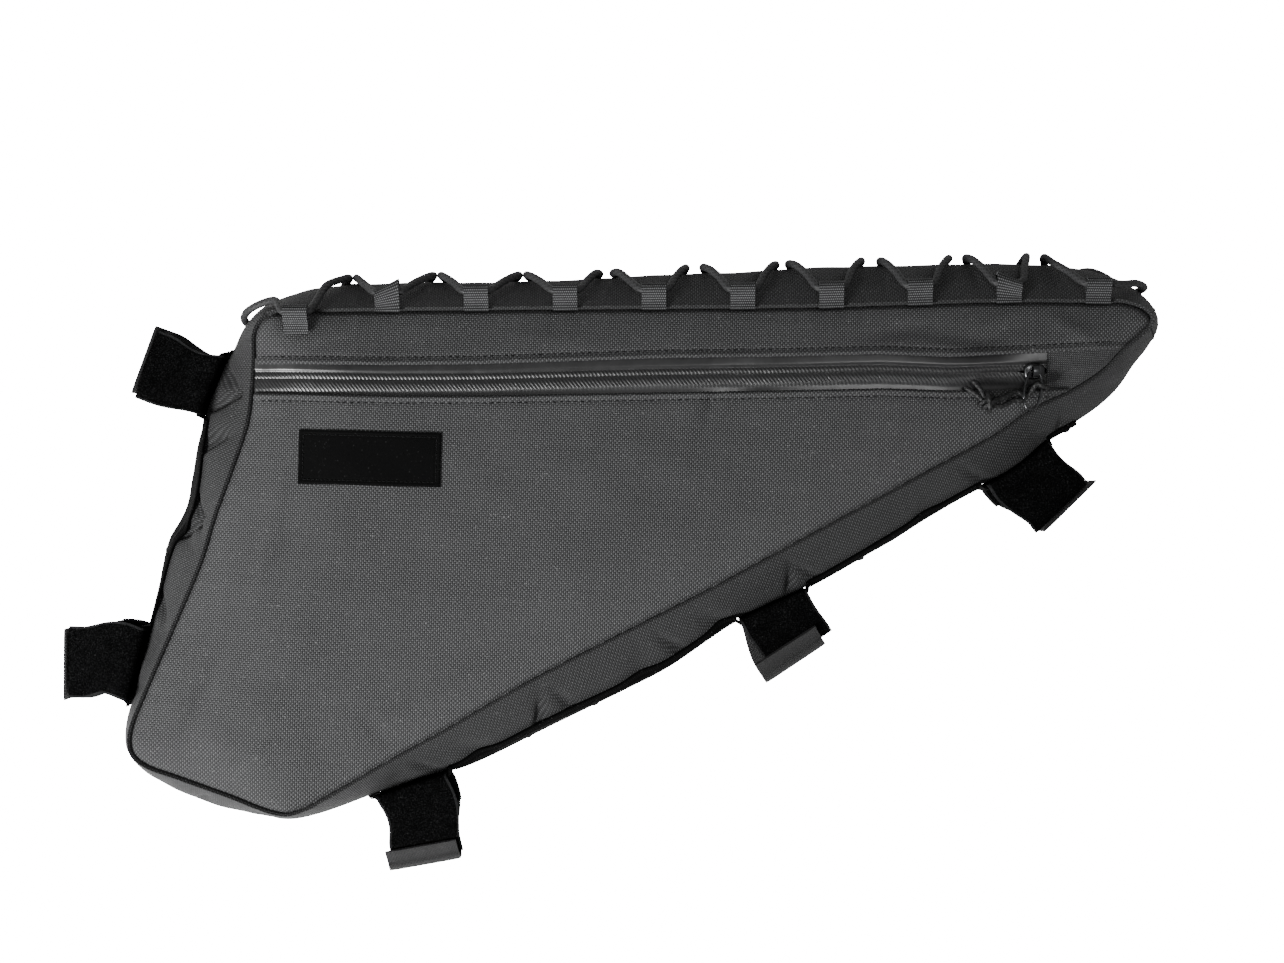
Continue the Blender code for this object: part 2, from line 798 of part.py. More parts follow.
def build_zip_end_tab(cloth):
    """Cloth piece over the end of the zip, from beside the slider to the seam."""
    columns = 5
    rows = 4
    left = tab_left()

    def place(i, j):
        middle, half = zip_line(left)
        y = middle + (2 * j / rows - 1) * (half + ZIP_UNDERLAP)
        right = outline.right_side(y) - TAB_FROM_SEAM * CLOTH
        x = left + (right - left) * i / columns
        return zip_surface(x, y)

    return sheet("zip_end_tab", columns, rows, place, CLOTH, cloth)


def box(bm, size, centre):
    made = bmesh.ops.create_cube(bm, size=1.0)
    for vertex in made["verts"]:
        vertex.co = Vector([vertex.co[k] * size[k] + centre[k] for k in range(3)])


def box_object(name, size, centre, collection):
    bm = bmesh.new()
    box(bm, size, centre)
    mesh = bpy.data.meshes.new(name)
    bm.to_mesh(mesh)
    bm.free()
    item = bpy.data.objects.new(name, mesh)
    collection.objects.link(item)
    return item


def cutter(name, size, centre, frame):
    item = box_object(name, size, centre, cutters)
    item.matrix_world = frame
    item.hide_render = True
    item.display_type = "WIRE"
    return item


def combine(item, other, operation):
    change = item.modifiers.new(other.name, "BOOLEAN")
    change.operation = operation
    change.object = other


def slider_frame():
    """Place and tilt of the slider: on the tapes' top, square to them."""
    x = slider_x()
    middle, half = zip_line(x)
    here = zip_surface(x, middle)
    ahead = zip_surface(x + half, middle) - zip_surface(x - half, middle)
    aside = zip_surface(x, middle + half) - zip_surface(x, middle - half)
    along = ahead.normalized()
    up = along.cross(aside).normalized()
    side = up.cross(along)
    turn = Matrix((along, side, up)).transposed().to_4x4()
    return Matrix.Translation(here + up * (2 * GAP + SLIDER_PLATE)) @ turn


def build_slider(metal):
    """Slider: a plate over and under the tapes, the post between, and a bridge for the ring."""
    frame = slider_frame()
    below = ZIP_TAPE + 4 * GAP
    mesh = bpy.data.meshes.new("zip_slider")
    bm = bmesh.new()
    box(bm, (SLIDER_LENGTH, SLIDER_WIDTH, SLIDER_PLATE), (0, 0, -SLIDER_PLATE / 2))
    bmesh.ops.bevel(bm, geom=bm.edges[:], offset=SLIDER_PLATE * PLATE_ROUND, segments=1, affect="EDGES")
    bm.to_mesh(mesh)
    bm.free()
    item = add_object("zip_slider", mesh, metal)
    item.matrix_world = frame
    under = SLIDER_PLATE * LOWER_PLATE
    post_side = SLIDER_LENGTH * POST_SIDE
    post_at = SLIDER_LENGTH * POST_AT
    lower_top = -SLIDER_PLATE - below
    leg = RING_WIRE
    bridge_width = SLIDER_WIDTH * BRIDGE_WIDTH
    pieces = (
        ("slider_post", (post_side, post_side, below + SLIDER_PLATE * POST_BITE),
         (post_at, 0, -SLIDER_PLATE - below / 2)),
        ("slider_lower", (SLIDER_LENGTH * LOWER_LENGTH, SLIDER_WIDTH * LOWER_WIDTH, under),
         (post_at, 0, lower_top - under / 2)),
        ("slider_bridge", (SLIDER_LENGTH * BRIDGE_LENGTH, bridge_width, CROWN_RISE + SLIDER_PLATE / 2),
         (0, 0, CROWN_RISE / 2 - SLIDER_PLATE / 4)),
    )
    for name, size, centre in pieces:
        combine(item, cutter(name, size, centre, frame), "UNION")
    eye_height = CROWN_RISE - leg * CROWN_WALL
    eye_size = (SLIDER_LENGTH, bridge_width - 2 * leg, eye_height)
    eye = cutter("slider_eye", eye_size, (0, 0, eye_height / 2 + GAP / 3), frame)
    combine(item, eye, "DIFFERENCE")
    return item


def ring_frame():
    """Centre line of the pull ring: its end under the bridge, and its directions."""
    frame = slider_frame()
    turn = frame.to_3x3()
    eye = frame @ Vector((0, 0, GAP * 2 + RING_WIRE / 2))
    along = (turn @ Vector(RING_ALONG)).normalized()
    across = (turn @ Vector(RING_ACROSS)).normalized()
    return eye, along, across


def ring_point(angle):
    """Point of the ring's centre line; angle 0 is under the bridge and pi at its far end."""
    eye, along, across = ring_frame()
    length = (RING_LENGTH - RING_WIRE) / 2
    width = (RING_WIDTH - RING_WIRE) / 2
    centre = eye + along * length
    squash = abs(math.sin(angle)) ** RING_SQUARENESS * (1 if math.sin(angle) >= 0 else -1)
    return centre - along * math.cos(angle) * length + across * squash * width


def build_pull_ring(metal):
    """Bent wire ring, its two ends meeting on the side away from the zip's end."""
    steps = 22
    butt = 2 * GAP / RING_LENGTH
    points = []
    for k in range(steps + 1):
        points.append(ring_point(RING_OPENS_AT + butt + (math.tau - 2 * butt) * k / steps))
    return tube("zip_pull_ring", points, RING_WIRE, metal)


def knot_centre():
    """Middle of the knot, resting on the face below the zip."""
    x = slider_x() - KNOT_FROM_SLIDER
    y = zip_line(x)[0] - KNOT_BELOW_ZIP
    return Vector((x, y, face_height(x, y) + 3 * GAP + KNOT_HEIGHT / 2))


def pull_route():
    """Doubled pull cord: from the knot under the ring's near wire, round its far wire and back."""
    _, along, across = ring_frame()
    held = {
        "knot": (knot_centre(), Vector((1, 0, 0)), Vector((0, 1, 0))),
        "near": (ring_point(RING_NEAR_WIRE), across, along),
        "far": (ring_point(RING_FAR_WIRE), across, along),
    }
    route = []
    for name, over, on, up in PULL_ROUTE:
        point, across_ring, along_ring = held[name]
        shift = across_ring * over + along_ring * on + Vector((0, 0, up))
        route.append(point + shift * PULL_CORD)
    return route


def build_pull_cord(cord):
    """Doubled pull cord with its knot and two tails, fused into one body."""
    knot = knot_centre()
    step = 1.15 * PULL_CORD
    tubes = [tube("zip_pull_strands", smooth_path(pull_route(), step), PULL_CORD, cord)]
    for x, y in PULL_TAILS:
        tip = knot + Vector((x, y, 0)) * KNOT_LENGTH
        tip.z = max(face_height(tip.x, tip.y) + 3 * GAP, knot.z - PULL_CORD / 2) + PULL_CORD / 2
        middle = (knot + tip) / 2 + Vector((0, 0, 2 * GAP))
        tubes.append(tube("zip_pull_tail", smooth_path([knot, middle, tip], step), PULL_CORD, cord))
    lump = bmesh.new()
    bmesh.ops.create_uvsphere(lump, u_segments=12, v_segments=8, radius=0.5)
    bmesh.ops.scale(lump, vec=(KNOT_LENGTH, KNOT_WIDTH, KNOT_HEIGHT), verts=lump.verts)
    mesh = bpy.data.meshes.new("zip_pull_cord")
    lump.to_mesh(mesh)
    lump.free()
    item = add_object("zip_pull_cord", mesh, cord)
    item.location = knot
    item.rotation_euler.z = KNOT_TURN
    for tube_object in tubes:
        combine(item, meshed(tube_object), "UNION")
    return item


def meshed(curve_object):
    """A curve's evaluated mesh as a hidden helper, with its caps welded."""
    bpy.context.view_layer.update()
    graph = bpy.context.evaluated_depsgraph_get()
    mesh = bpy.data.meshes.new_from_object(curve_object.evaluated_get(graph))
    bm = bmesh.new()
    bm.from_mesh(mesh)
    bmesh.ops.remove_doubles(bm, verts=bm.verts, dist=0.00001)
    bm.to_mesh(mesh)
    bm.free()
    item = bpy.data.objects.new(curve_object.name + "_mesh", mesh)
    item.matrix_world = curve_object.matrix_world
    cutters.objects.link(item)
    item.hide_render = True
    item.display_type = "WIRE"
    bpy.data.objects.remove(curve_object)
    return item


def build_label(patch_cloth):
    """Sewn patch on the front face."""
    columns = 6
    rows = 3
    centre = Vector((LABEL_AT[0] * BAG_LENGTH, LABEL_AT[1] * BAG_HEIGHT))

    def place(i, j):
        dx = (i / columns - 0.5) * LABEL_WIDTH
        dy = (j / rows - 0.5) * LABEL_HEIGHT
        x = centre.x + dx * math.cos(LABEL_TURN) - dy * math.sin(LABEL_TURN)
        y = centre.y + dx * math.sin(LABEL_TURN) + dy * math.cos(LABEL_TURN)
        return Vector((x, y, face_height(x, y) + 2 * GAP))

    return sheet("label", columns, rows, place, LABEL_THICKNESS, patch_cloth, offset=1.0)


def lace_loop(name, root, head, webbing):
    """Folded webbing tab from its root to the fold round the lace, as wide as it is drawn."""
    reach = (head - root).length
    inner = LACE_DIAMETER / 2 + LACE_LOOP_SLACK
    outer = inner + LACE_LOOP_THICKNESS
    curve = bpy.data.curves.new(name, "CURVE")
    curve.dimensions = "2D"
    curve.fill_mode = "BOTH"
    curve.extrude = LACE_LOOP_WIDTH / 2
    curve.render_resolution_u = 0
    for radius, back in ((outer, LACE_LOOP_THICKNESS), (inner, None)):
        arc = []
        for k in range(LOOP_STEPS + 1):
            angle = LACE_LOOP_CLASP * (2 * k / LOOP_STEPS - 1)
            arc.append((reach + radius * math.cos(angle), radius * math.sin(angle)))
        if back is None:
            arc.append((reach * 0.30, 0.0))
        else:
            arc.append((0.0, back))
            arc.append((0.0, -back))
        loop = curve.splines.new("POLY")
        loop.points.add(len(arc) - 1)
        for point, (x, y) in zip(loop.points, arc):
            point.co = (x, y, 0.0, 1.0)
        loop.use_cyclic_u = True
    item = add_object(name, curve, webbing)
    axis = (head - root).normalized()
    side = Vector((0, 0, 1)).cross(axis).normalized()
    up = axis.cross(side)
    item.matrix_world = Matrix.Translation(root) @ Matrix((axis, up, axis.cross(up))).transposed().to_4x4()
    return item


def loop_station(number):
    share = FIRST_LOOP_AT + (LAST_LOOP_AT - FIRST_LOOP_AT) * number / len(LACE_ARCS)
    return outline.along("top", share)


def back_station(number):
    shift = LACE_ARCS[number][0]
    first = loop_station(number)
    last = loop_station(number + 1)
    return first + (last - first) * (0.5 + shift)


def front_loop_ends(number):
    """Root and head of a front loop; the first one lies back over the face."""
    s = loop_station(number)
    x, y, seam_height, _ = outline.at(s)
    out = outline.normal(s)
    seam = Vector((x, y, seam_height))
    up = GAP * 3 + LACE_LOOP_THICKNESS
    if number == 0:
        root = seam - out * LACE_LOOP_REACH * 1.05
        root.z = face_height(root.x, root.y) + up + GAP
        head = seam + out * 0.0005
        head.z = root.z + LACE_DIAMETER / 2 + LACE_LOOP_SLACK
        return root, head
    root = seam + out * (SEAM_OPENING * 0.3) + Vector((0, 0, up))
    head = root + out * LACE_LOOP_REACH + Vector((0, 0, GAP))
    return root, head


def back_loop_ends(number):
    s = back_station(number)
    x, y, _, _ = outline.at(s)
    out = outline.normal(s)
    root = Vector((x, y, LACE_LOOP_THICKNESS + GAP * 0.7)) + out * (SEAM_OPENING + GAP)
    head_height = LACE_DIAMETER / 2 + LACE_LOOP_SLACK + LACE_LOOP_THICKNESS + GAP
    head = root + out * LACE_LOOP_REACH * BACK_LOOP_SHARE
    head.z = head_height
    return root, head


def lace_off(s, height, stand_off):
    """A place of the lace on the side cloth, clear of it by a share of the lace's diameter."""
    clear = LACE_DIAMETER / 2 + max(2 * GAP, stand_off * LACE_DIAMETER)
    return gusset_outward(s, height, clear)


def lace_through(head, s):
    """The lace where it passes through a loop, from one side of it to the other."""
    aside = outline.tangent(s) * (0.66 * LACE_LOOP_WIDTH)
    return [head - aside, head, head + aside]


def lace_run(number, s_from, s_to, sign):
    """The lace from beside a front loop over the belly to beside the back loop."""
    _, spread, stand_off = LACE_ARCS[number]
    pitch = loop_station(number + 1) - loop_station(number)
    peak = back_station(number) - sign * spread * pitch
    hook = s_to - sign * (0.55 * LACE_LOOP_WIDTH + 0.7 * LACE_DIAMETER)
    run = [lace_off(s_from + (peak - s_from) * share, w, off) for share, w, off in LACE_RISE]
    run.append(gusset_outward(peak, 0.5, max(stand_off, 0.7) * LACE_DIAMETER))
    run.extend(lace_off(peak + (hook - peak) * share, w, off) for share, w, off in LACE_FALL)
    return run


def lace_points():
    """Route of the lace: through each front loop, over the belly, through each back loop."""
    beside = 0.8 * LACE_LOOP_WIDTH
    corner = outline.marks["top_left"]
    points = [lace_off(corner + place * LACE_DIAMETER, w, off) for place, w, off in LACE_START]
    points.extend(lace_through(front_loop_ends(0)[1], loop_station(0)))
    for number in range(len(LACE_ARCS)):
        s_front = loop_station(number)
        s_back = back_station(number)
        s_next = loop_station(number + 1)
        points.extend(lace_run(number, s_front + beside, s_back, 1))
        points.extend(lace_through(back_loop_ends(number)[1], s_back))
        points.extend(reversed(lace_run(number, s_next - beside, s_back, -1)))
        points.extend(lace_through(front_loop_ends(number + 1)[1], s_next))
    last = loop_station(len(LACE_ARCS)) + LACE_LOOP_WIDTH / 2
    pitch = loop_station(1) - loop_station(0)
    points.extend(lace_off(last + place * pitch, w, off) for place, w, off in LACE_END)
    return points


def strap_stations():
    return [(row[1], outline.along(row[1], row[2])) for row in STRAPS]


def webbing_lie(edge, s):
    """Stand-off of the webbing's upper and lower edge, wider where a strap passes behind it."""
    start, end = outline.span(edge)
    share = (s - start) / (end - start)
    rows = [row for row in WEBBING_LIE if row[0] == edge]
    shares = [row[1] for row in rows]
    lift = float(np.interp(share, shares, [row[2] for row in rows])) * STRAP_CLEARANCE
    flare = float(np.interp(share, shares, [row[3] for row in rows])) * WEBBING_WIDTH
    behind = 2 * STRAP_CLEARANCE + STRAP_THICKNESS
    for strap_edge, at in strap_stations():
        if strap_edge == edge:
            away = abs(s - at) - STRAP_WIDTH * 0.62
            ease = min(1.0, max(0.0, 1 - away / STRAP_WIDTH))
            ease = ease * ease * (3 - 2 * ease)
            lift = lift * (1 - ease) + max(lift, behind) * ease
            flare *= 1 - ease
    return lift, flare


def belly_place(s, lift, height):
    """Point level with height, held off the belly line by lift in plan."""
    x, y, _, belly = outline.at(s)
    return Vector((x, y, height)) + outline.normal(s) * (belly + lift)


def belly_height(s):
    return gusset_point(s, 0.5).z


def build_webbing(name, edge, first, last, webbing):
    """Webbing standing along the belly line, slack between its bar tacks."""
    start, end = outline.span(edge)
    begin = start + (end - start) * first
    finish = start + (end - start) * last
    count = round((finish - begin) / WEBBING_STEP)
    stations = [begin + (finish - begin) * k / count for k in range(count + 1)]

    def place(i, j):
        s = stations[i]
        height = belly_height(s) + (0.5 - j) * WEBBING_WIDTH
        lift, flare = webbing_lie(edge, s)
        return belly_place(s, lift + flare * j, height)

    return sheet(name, count, 1, place, WEBBING_THICKNESS, webbing, offset=1.0)


def build_strap(row, fuzzy, hook):
    """One closed strap: a fuzzy tape and a hook tape, threaded behind the webbing."""
    name, edge, share, lean, reach_share, fold_share, slip, band_share = row
    s0 = outline.along(edge, share)
    reach = reach_share * STRAP_REACH
    middle = belly_height(s0)
    out = outline.normal(s0)
    turn = math.radians(lean)
    heading = Vector((out.x * math.cos(turn) - out.y * math.sin(turn),
                      out.x * math.sin(turn) + out.y * math.cos(turn), 0.0))
    side = Vector((heading.y, -heading.x, 0.0))
    root = belly_place(s0, 0.0, 0.0)
    across_steps = 2
    tape = STRAP_THICKNESS
    behind = STRAP_CLEARANCE + tape / 2
    past = behind + tape / 2 + STRAP_CLEARANCE + WEBBING_THICKNESS
    over = WEBBING_WIDTH / 2 + 2 * STRAP_CLEARANCE + tape / 2
    floor = tape / 2 + GAP
    layer = tape + 2 * GAP
    top_root = middle + over
    low_root = max(middle - over, floor + layer + GAP)
    fold_top = floor + layer + fold_share * BELLY
    drop = top_root - fold_top
    bow = BOW * reach if fold_share > BOWED_FROM else 0.0
    band = band_share * STRAP_WIDTH
    end = reach - (BAND_TUCK * tape if band else PLAIN_TUCK * tape)
    bend = tape * BEND

    loop_tape = [(end, fold_top)]
    for out_share, drop_share, bow_share in FUZZY_RUN:
        loop_tape.append((reach * out_share, fold_top + drop * drop_share + bow * bow_share))
    loop_tape.append((past + bend, top_root + GAP))
    loop_tape.append((behind + bend, top_root + GAP))
    for out_share, in_share in FUZZY_TURN:
        loop_tape.append((behind + bend * out_share, top_root - bend * in_share))
    loop_tape.append((behind, middle))
    for out_share, in_share in reversed(FUZZY_TURN):
        loop_tape.append((behind + bend * out_share, low_root + bend * in_share))
    loop_tape.append((behind + bend, low_root - GAP))
    loop_tape.append((past + bend, low_root - GAP))
    out_share, root_share, floor_share = FUZZY_END
    loop_tape.append((reach * out_share, low_root * root_share + (floor + layer) * floor_share))

    lower_in = max(floor, low_root - layer - 2 * GAP)
    first_out, first_share = HOOK_FALL
    hook_tape = [
        (past, lower_in),
        (reach * first_out, max(floor, lower_in * first_share)),
        (reach * HOOK_FLAT[0], floor + GAP),
        (reach * HOOK_FLAT[1], floor),
    ]
    for back, rise in HOOK_LOW_TURN:
        hook_tape.append((reach - back * tape, floor + tape * rise))
    hook_tape.append((reach + tape * NOSE_BULGE, (floor + fold_top + layer) / 2))
    if band:
        top = fold_top + layer + GAP
        shares = [row[0] for row in reversed(FUZZY_RUN)]
        drops = [row[1] for row in reversed(FUZZY_RUN)]
        band_drop = drop * float(np.interp(1 - band / reach, shares, drops))
        for back, fall in HOOK_TOP_TURN:
            hook_tape.append((reach - back * tape, top - tape * fall))
        hook_tape.append((reach - BAND_FROM * tape, top + GAP))
        hook_tape.append((reach - band, top + layer / 3 + band_drop))
    else:
        for back, rise in HOOK_PLAIN_END:
            hook_tape.append((reach - back * tape, fold_top + tape * rise))

    def ribbon(node, section, shift, finish):
        def place(i, j):
            away, height = section[i]
            along = (j / across_steps - 0.5) * STRAP_WIDTH
            held = belly_place(s0 + along, away, 0.0)
            free = root + heading * away + side * (along + shift)
            share_out = min(1.0, max(0.0, (away - past) / (reach - past)))
            share_out = share_out * share_out * (3 - 2 * share_out)
            result = held.lerp(free, share_out)
            settle = (belly_height(s0 + along) - middle) * (1 - share_out)
            result.z = max(floor, height + settle)
            return result
        made = sheet(node, len(section) - 1, across_steps, place, tape, finish, offset=0.0)
        made.modifiers["Wall"].use_even_offset = False

    ribbon(name + "_loop_tape", loop_tape, 0.0, fuzzy)
    ribbon(name + "_hook_tape", hook_tape, slip * STRAP_WIDTH, hook)


def build():
    cloth = material("face_cloth", (0.040, 0.041, 0.043), 0.78)
    side_cloth = material("side_cloth", (0.028, 0.029, 0.031), 0.80)
    tape = material("coated_tape", (0.020, 0.020, 0.021), 0.30)
    chain = material("coil", (0.015, 0.015, 0.016), 0.45)
    metal = material("dark_metal", (0.030, 0.030, 0.032), 0.32, 1.0)
    cord = material("cord", (0.018, 0.018, 0.019), 0.85)
    patch_cloth = material("patch", (0.012, 0.012, 0.013), 0.45)
    webbing = material("webbing", (0.016, 0.016, 0.017), 0.80)
    fuzzy = material("fuzzy_tape", (0.007, 0.007, 0.007), 0.95)
    hook = material("hook_tape", (0.030, 0.030, 0.031), 0.55)

    build_front_panel(cloth)
    build_fascia(cloth)
    build_back_panel(cloth)
    for edge in EDGES:
        build_gusset(edge, side_cloth)
    build_zip_tape("zip_tape_upper", 1, tape)
    build_zip_tape("zip_tape_lower", -1, tape)
    build_zip_chain(chain)
    build_zip_end_tab(cloth)
    build_slider(metal)
    build_pull_ring(metal)
    build_pull_cord(cord)
    build_label(patch_cloth)
    for number in range(len(LACE_ARCS) + 1):
        lace_loop("front_loop_%02d" % (number + 1), *front_loop_ends(number), webbing)
    for number in range(len(LACE_ARCS)):
        lace_loop("back_loop_%02d" % (number + 1), *back_loop_ends(number), webbing)
    tube("lace_cord", smooth_path(lace_points(), 2.6 * LACE_DIAMETER), LACE_DIAMETER, cord)
    for name, edge, first, last in WEBBINGS:
        build_webbing(name, edge, first, last, webbing)
    for row in STRAPS:
        build_strap(row, fuzzy, hook)


clear_scene()
parts = new_collection("frame_bag")
cutters = new_collection("cutters")
build()
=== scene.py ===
# %% [markdown]
# # A bicycle frame bag, dressed around its solid model
# The bag is a flat cloth triangle lying on its back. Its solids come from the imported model, and this
# lesson lays fine cloth, thread, cord and tape over them. Loading the frame comes first, because
# every later piece is measured in its coordinates: metres, X along the laced top edge, Z up.
# %% Load the frame
import math

import bpy
import numpy as np
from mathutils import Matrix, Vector


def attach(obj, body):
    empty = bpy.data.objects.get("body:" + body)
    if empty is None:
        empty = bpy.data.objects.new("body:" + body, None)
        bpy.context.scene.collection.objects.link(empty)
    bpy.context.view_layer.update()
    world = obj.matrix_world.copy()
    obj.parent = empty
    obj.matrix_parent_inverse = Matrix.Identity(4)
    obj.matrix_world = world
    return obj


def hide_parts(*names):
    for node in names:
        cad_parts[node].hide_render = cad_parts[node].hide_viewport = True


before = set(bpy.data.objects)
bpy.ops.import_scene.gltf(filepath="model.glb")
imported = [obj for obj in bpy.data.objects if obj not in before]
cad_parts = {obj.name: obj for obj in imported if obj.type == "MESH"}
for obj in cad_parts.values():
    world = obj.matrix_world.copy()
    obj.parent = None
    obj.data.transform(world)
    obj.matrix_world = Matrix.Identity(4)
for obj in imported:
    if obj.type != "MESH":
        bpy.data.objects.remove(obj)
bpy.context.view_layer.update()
MM = 0.001
print("frame:", len(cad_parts), "solids")

# %% [markdown]
# The photograph looks straight down on the bag. A camera could be aimed by eye, but its height and
# the width of floor that it sees are known, so the lens is worked out from those two.
# %% Camera
CAMERA_HEIGHT = 1.0
FLOOR_WIDTH_SEEN = 0.6926
SENSOR = 36.0
lens = bpy.data.cameras.new("overhead")
lens.sensor_width = SENSOR
lens.lens = SENSOR * CAMERA_HEIGHT / FLOOR_WIDTH_SEEN
camera = bpy.data.objects.new("overhead", lens)
camera.location.z = CAMERA_HEIGHT
bpy.context.scene.collection.objects.link(camera)
bpy.context.scene.camera = camera
print("lens: %.1f mm" % lens.lens)


# %% [markdown]
# The picture is high in key: a white floor with hardly a shadow, and cloth lit from the lower left.
# One soft light gives that direction, and two small ones only make the glints on the coated zip.
# Seen directly, the surround is white; what it throws on the bag stays modest, so that the black
# cloth keeps its depth.
# %% Lights
def soft_light(name, place, size, power):
    """A square lamp that faces the middle of the bag."""
    data = bpy.data.lights.new(name, "AREA")
    data.size = size
    data.energy = power
    lamp = bpy.data.objects.new(name, data)
    lamp.location = place
    lamp.rotation_euler = (-Vector(place)).to_track_quat("-Z", "Y").to_euler()
    lamp.visible_camera = False
    bpy.context.scene.collection.objects.link(lamp)
    return lamp


def white_when_seen(tree, glow, white):
    """A strength that is white for the camera's own rays and a soft glow for all others."""
    seen = tree.nodes.new("ShaderNodeLightPath").outputs["Is Camera Ray"]
    mixed = tree.nodes.new("ShaderNodeMix")
    mixed.inputs[2].default_value = glow
    mixed.inputs[3].default_value = white
    tree.links.new(seen, mixed.inputs[0])
    return mixed.outputs[0]


def surround(glow, white):
    world = bpy.data.worlds.new("light_tent")
    world.use_nodes = True
    tree = world.node_tree
    tree.nodes["Background"].inputs["Color"].default_value = (1, 1, 1, 1)
    tree.links.new(white_when_seen(tree, glow, white), tree.nodes["Background"].inputs["Strength"])
    bpy.context.scene.world = world


# %% [markdown]
# The floor is a plain pale square a hair below the bag. It is not fastened to the bag's body.
# %% Floor
FLOOR_LEVEL = -0.2 * MM


def pale_floor(half_width, tone, white):
    finish = bpy.data.materials.new("pale_floor")
    finish.use_nodes = True
    tree = finish.node_tree
    shader = tree.nodes["Principled BSDF"]
    shader.inputs["Base Color"].default_value = (tone, tone, tone, 1)
    shader.inputs["Roughness"].default_value = 0.9
    shader.inputs["Emission Color"].default_value = (1, 1, 1, 1)
    tree.links.new(white_when_seen(tree, 0.0, white), shader.inputs["Emission Strength"])
    corners = [(-1, -1), (1, -1), (1, 1), (-1, 1)]
    mesh = bpy.data.meshes.new("pale_floor")
    floor_points = [(x * half_width, y * half_width, FLOOR_LEVEL) for x, y in corners]
    mesh.from_pydata(floor_points, [], [(0, 1, 2, 3)])
    mesh.materials.append(finish)
    floor = bpy.data.objects.new("pale_floor", mesh)
    bpy.context.scene.collection.objects.link(floor)


soft_light("key", (-0.80, -0.66, 0.80), 0.40, 36.0)
soft_light("glint_right", (0.39, 0.15, 1.64), 0.14, 5.5)
soft_light("glint_left", (-0.53, 0.15, 1.64), 0.07, 0.25)
surround(0.30, 20.0)
pale_floor(4.0, 0.85, 20.0)
print("lights: 3 and a surround")

# %% [markdown]
# The bag's own sizes are those of its solid model, written down again because a scene reads nothing
# but the frame. Everything soft follows from them: no piece carries a size of its own.
# %% Sizes
BAG_LENGTH = 0.528
BAG_HEIGHT = 0.264
SEAM_HEIGHT = 0.036
BELLY = 0.024
DOME = 0.0095
DOME_ROLL = 0.024
FOLD_DEPTH = 0.0035
CLOTH = 0.0015
GAP = 0.0003
SKIN = 0.0009
GUSSET_ROUND = 1.5
SEAM_OPENING = 1.5 * CLOTH
BACK_SEAM_HEIGHT = CLOTH + GAP
UNDER_CLOTH = 1.2 * CLOTH + 1.5 * GAP
ZIP_OPENING = 0.0172
ZIP_UNDERLAP = 0.003
ZIP_TAPE = 0.0009
SLIDER_LENGTH = 0.011
SLIDER_WIDTH = 0.0085
SLIDER_PLATE = 0.0014
CROWN_RISE = 0.0036
RING_LENGTH = 0.0215
RING_WIDTH = 0.0105
RING_WIRE = 0.0015
PULL_CORD = 0.0026
LABEL_WIDTH = 0.074
LABEL_HEIGHT = 0.028
LABEL_THICKNESS = 0.0007
LACE_DIAMETER = 0.004
TAB_WIDTH = 0.0127
TAB_REACH = 0.0097
TAB_THICKNESS = 0.0008
TAB_SLACK = 0.0007
BACK_TAB_SHARE = 1.3
WEBBING_WIDTH = 0.019
WEBBING_THICKNESS = 0.0014
STRAP_WIDTH = 0.038
STRAP_THICKNESS = 0.0016
STRAP_REACH = 0.040
STRAP_CLEARANCE = 0.0005
SLIDER_X = 0.385 * BAG_LENGTH
LABEL_AT = (-0.266 * BAG_LENGTH, 0.045 * BAG_HEIGHT)
LABEL_TURN = math.radians(-1.5)
FIRST_TAB_AT = 0.033
LAST_TAB_AT = 0.933

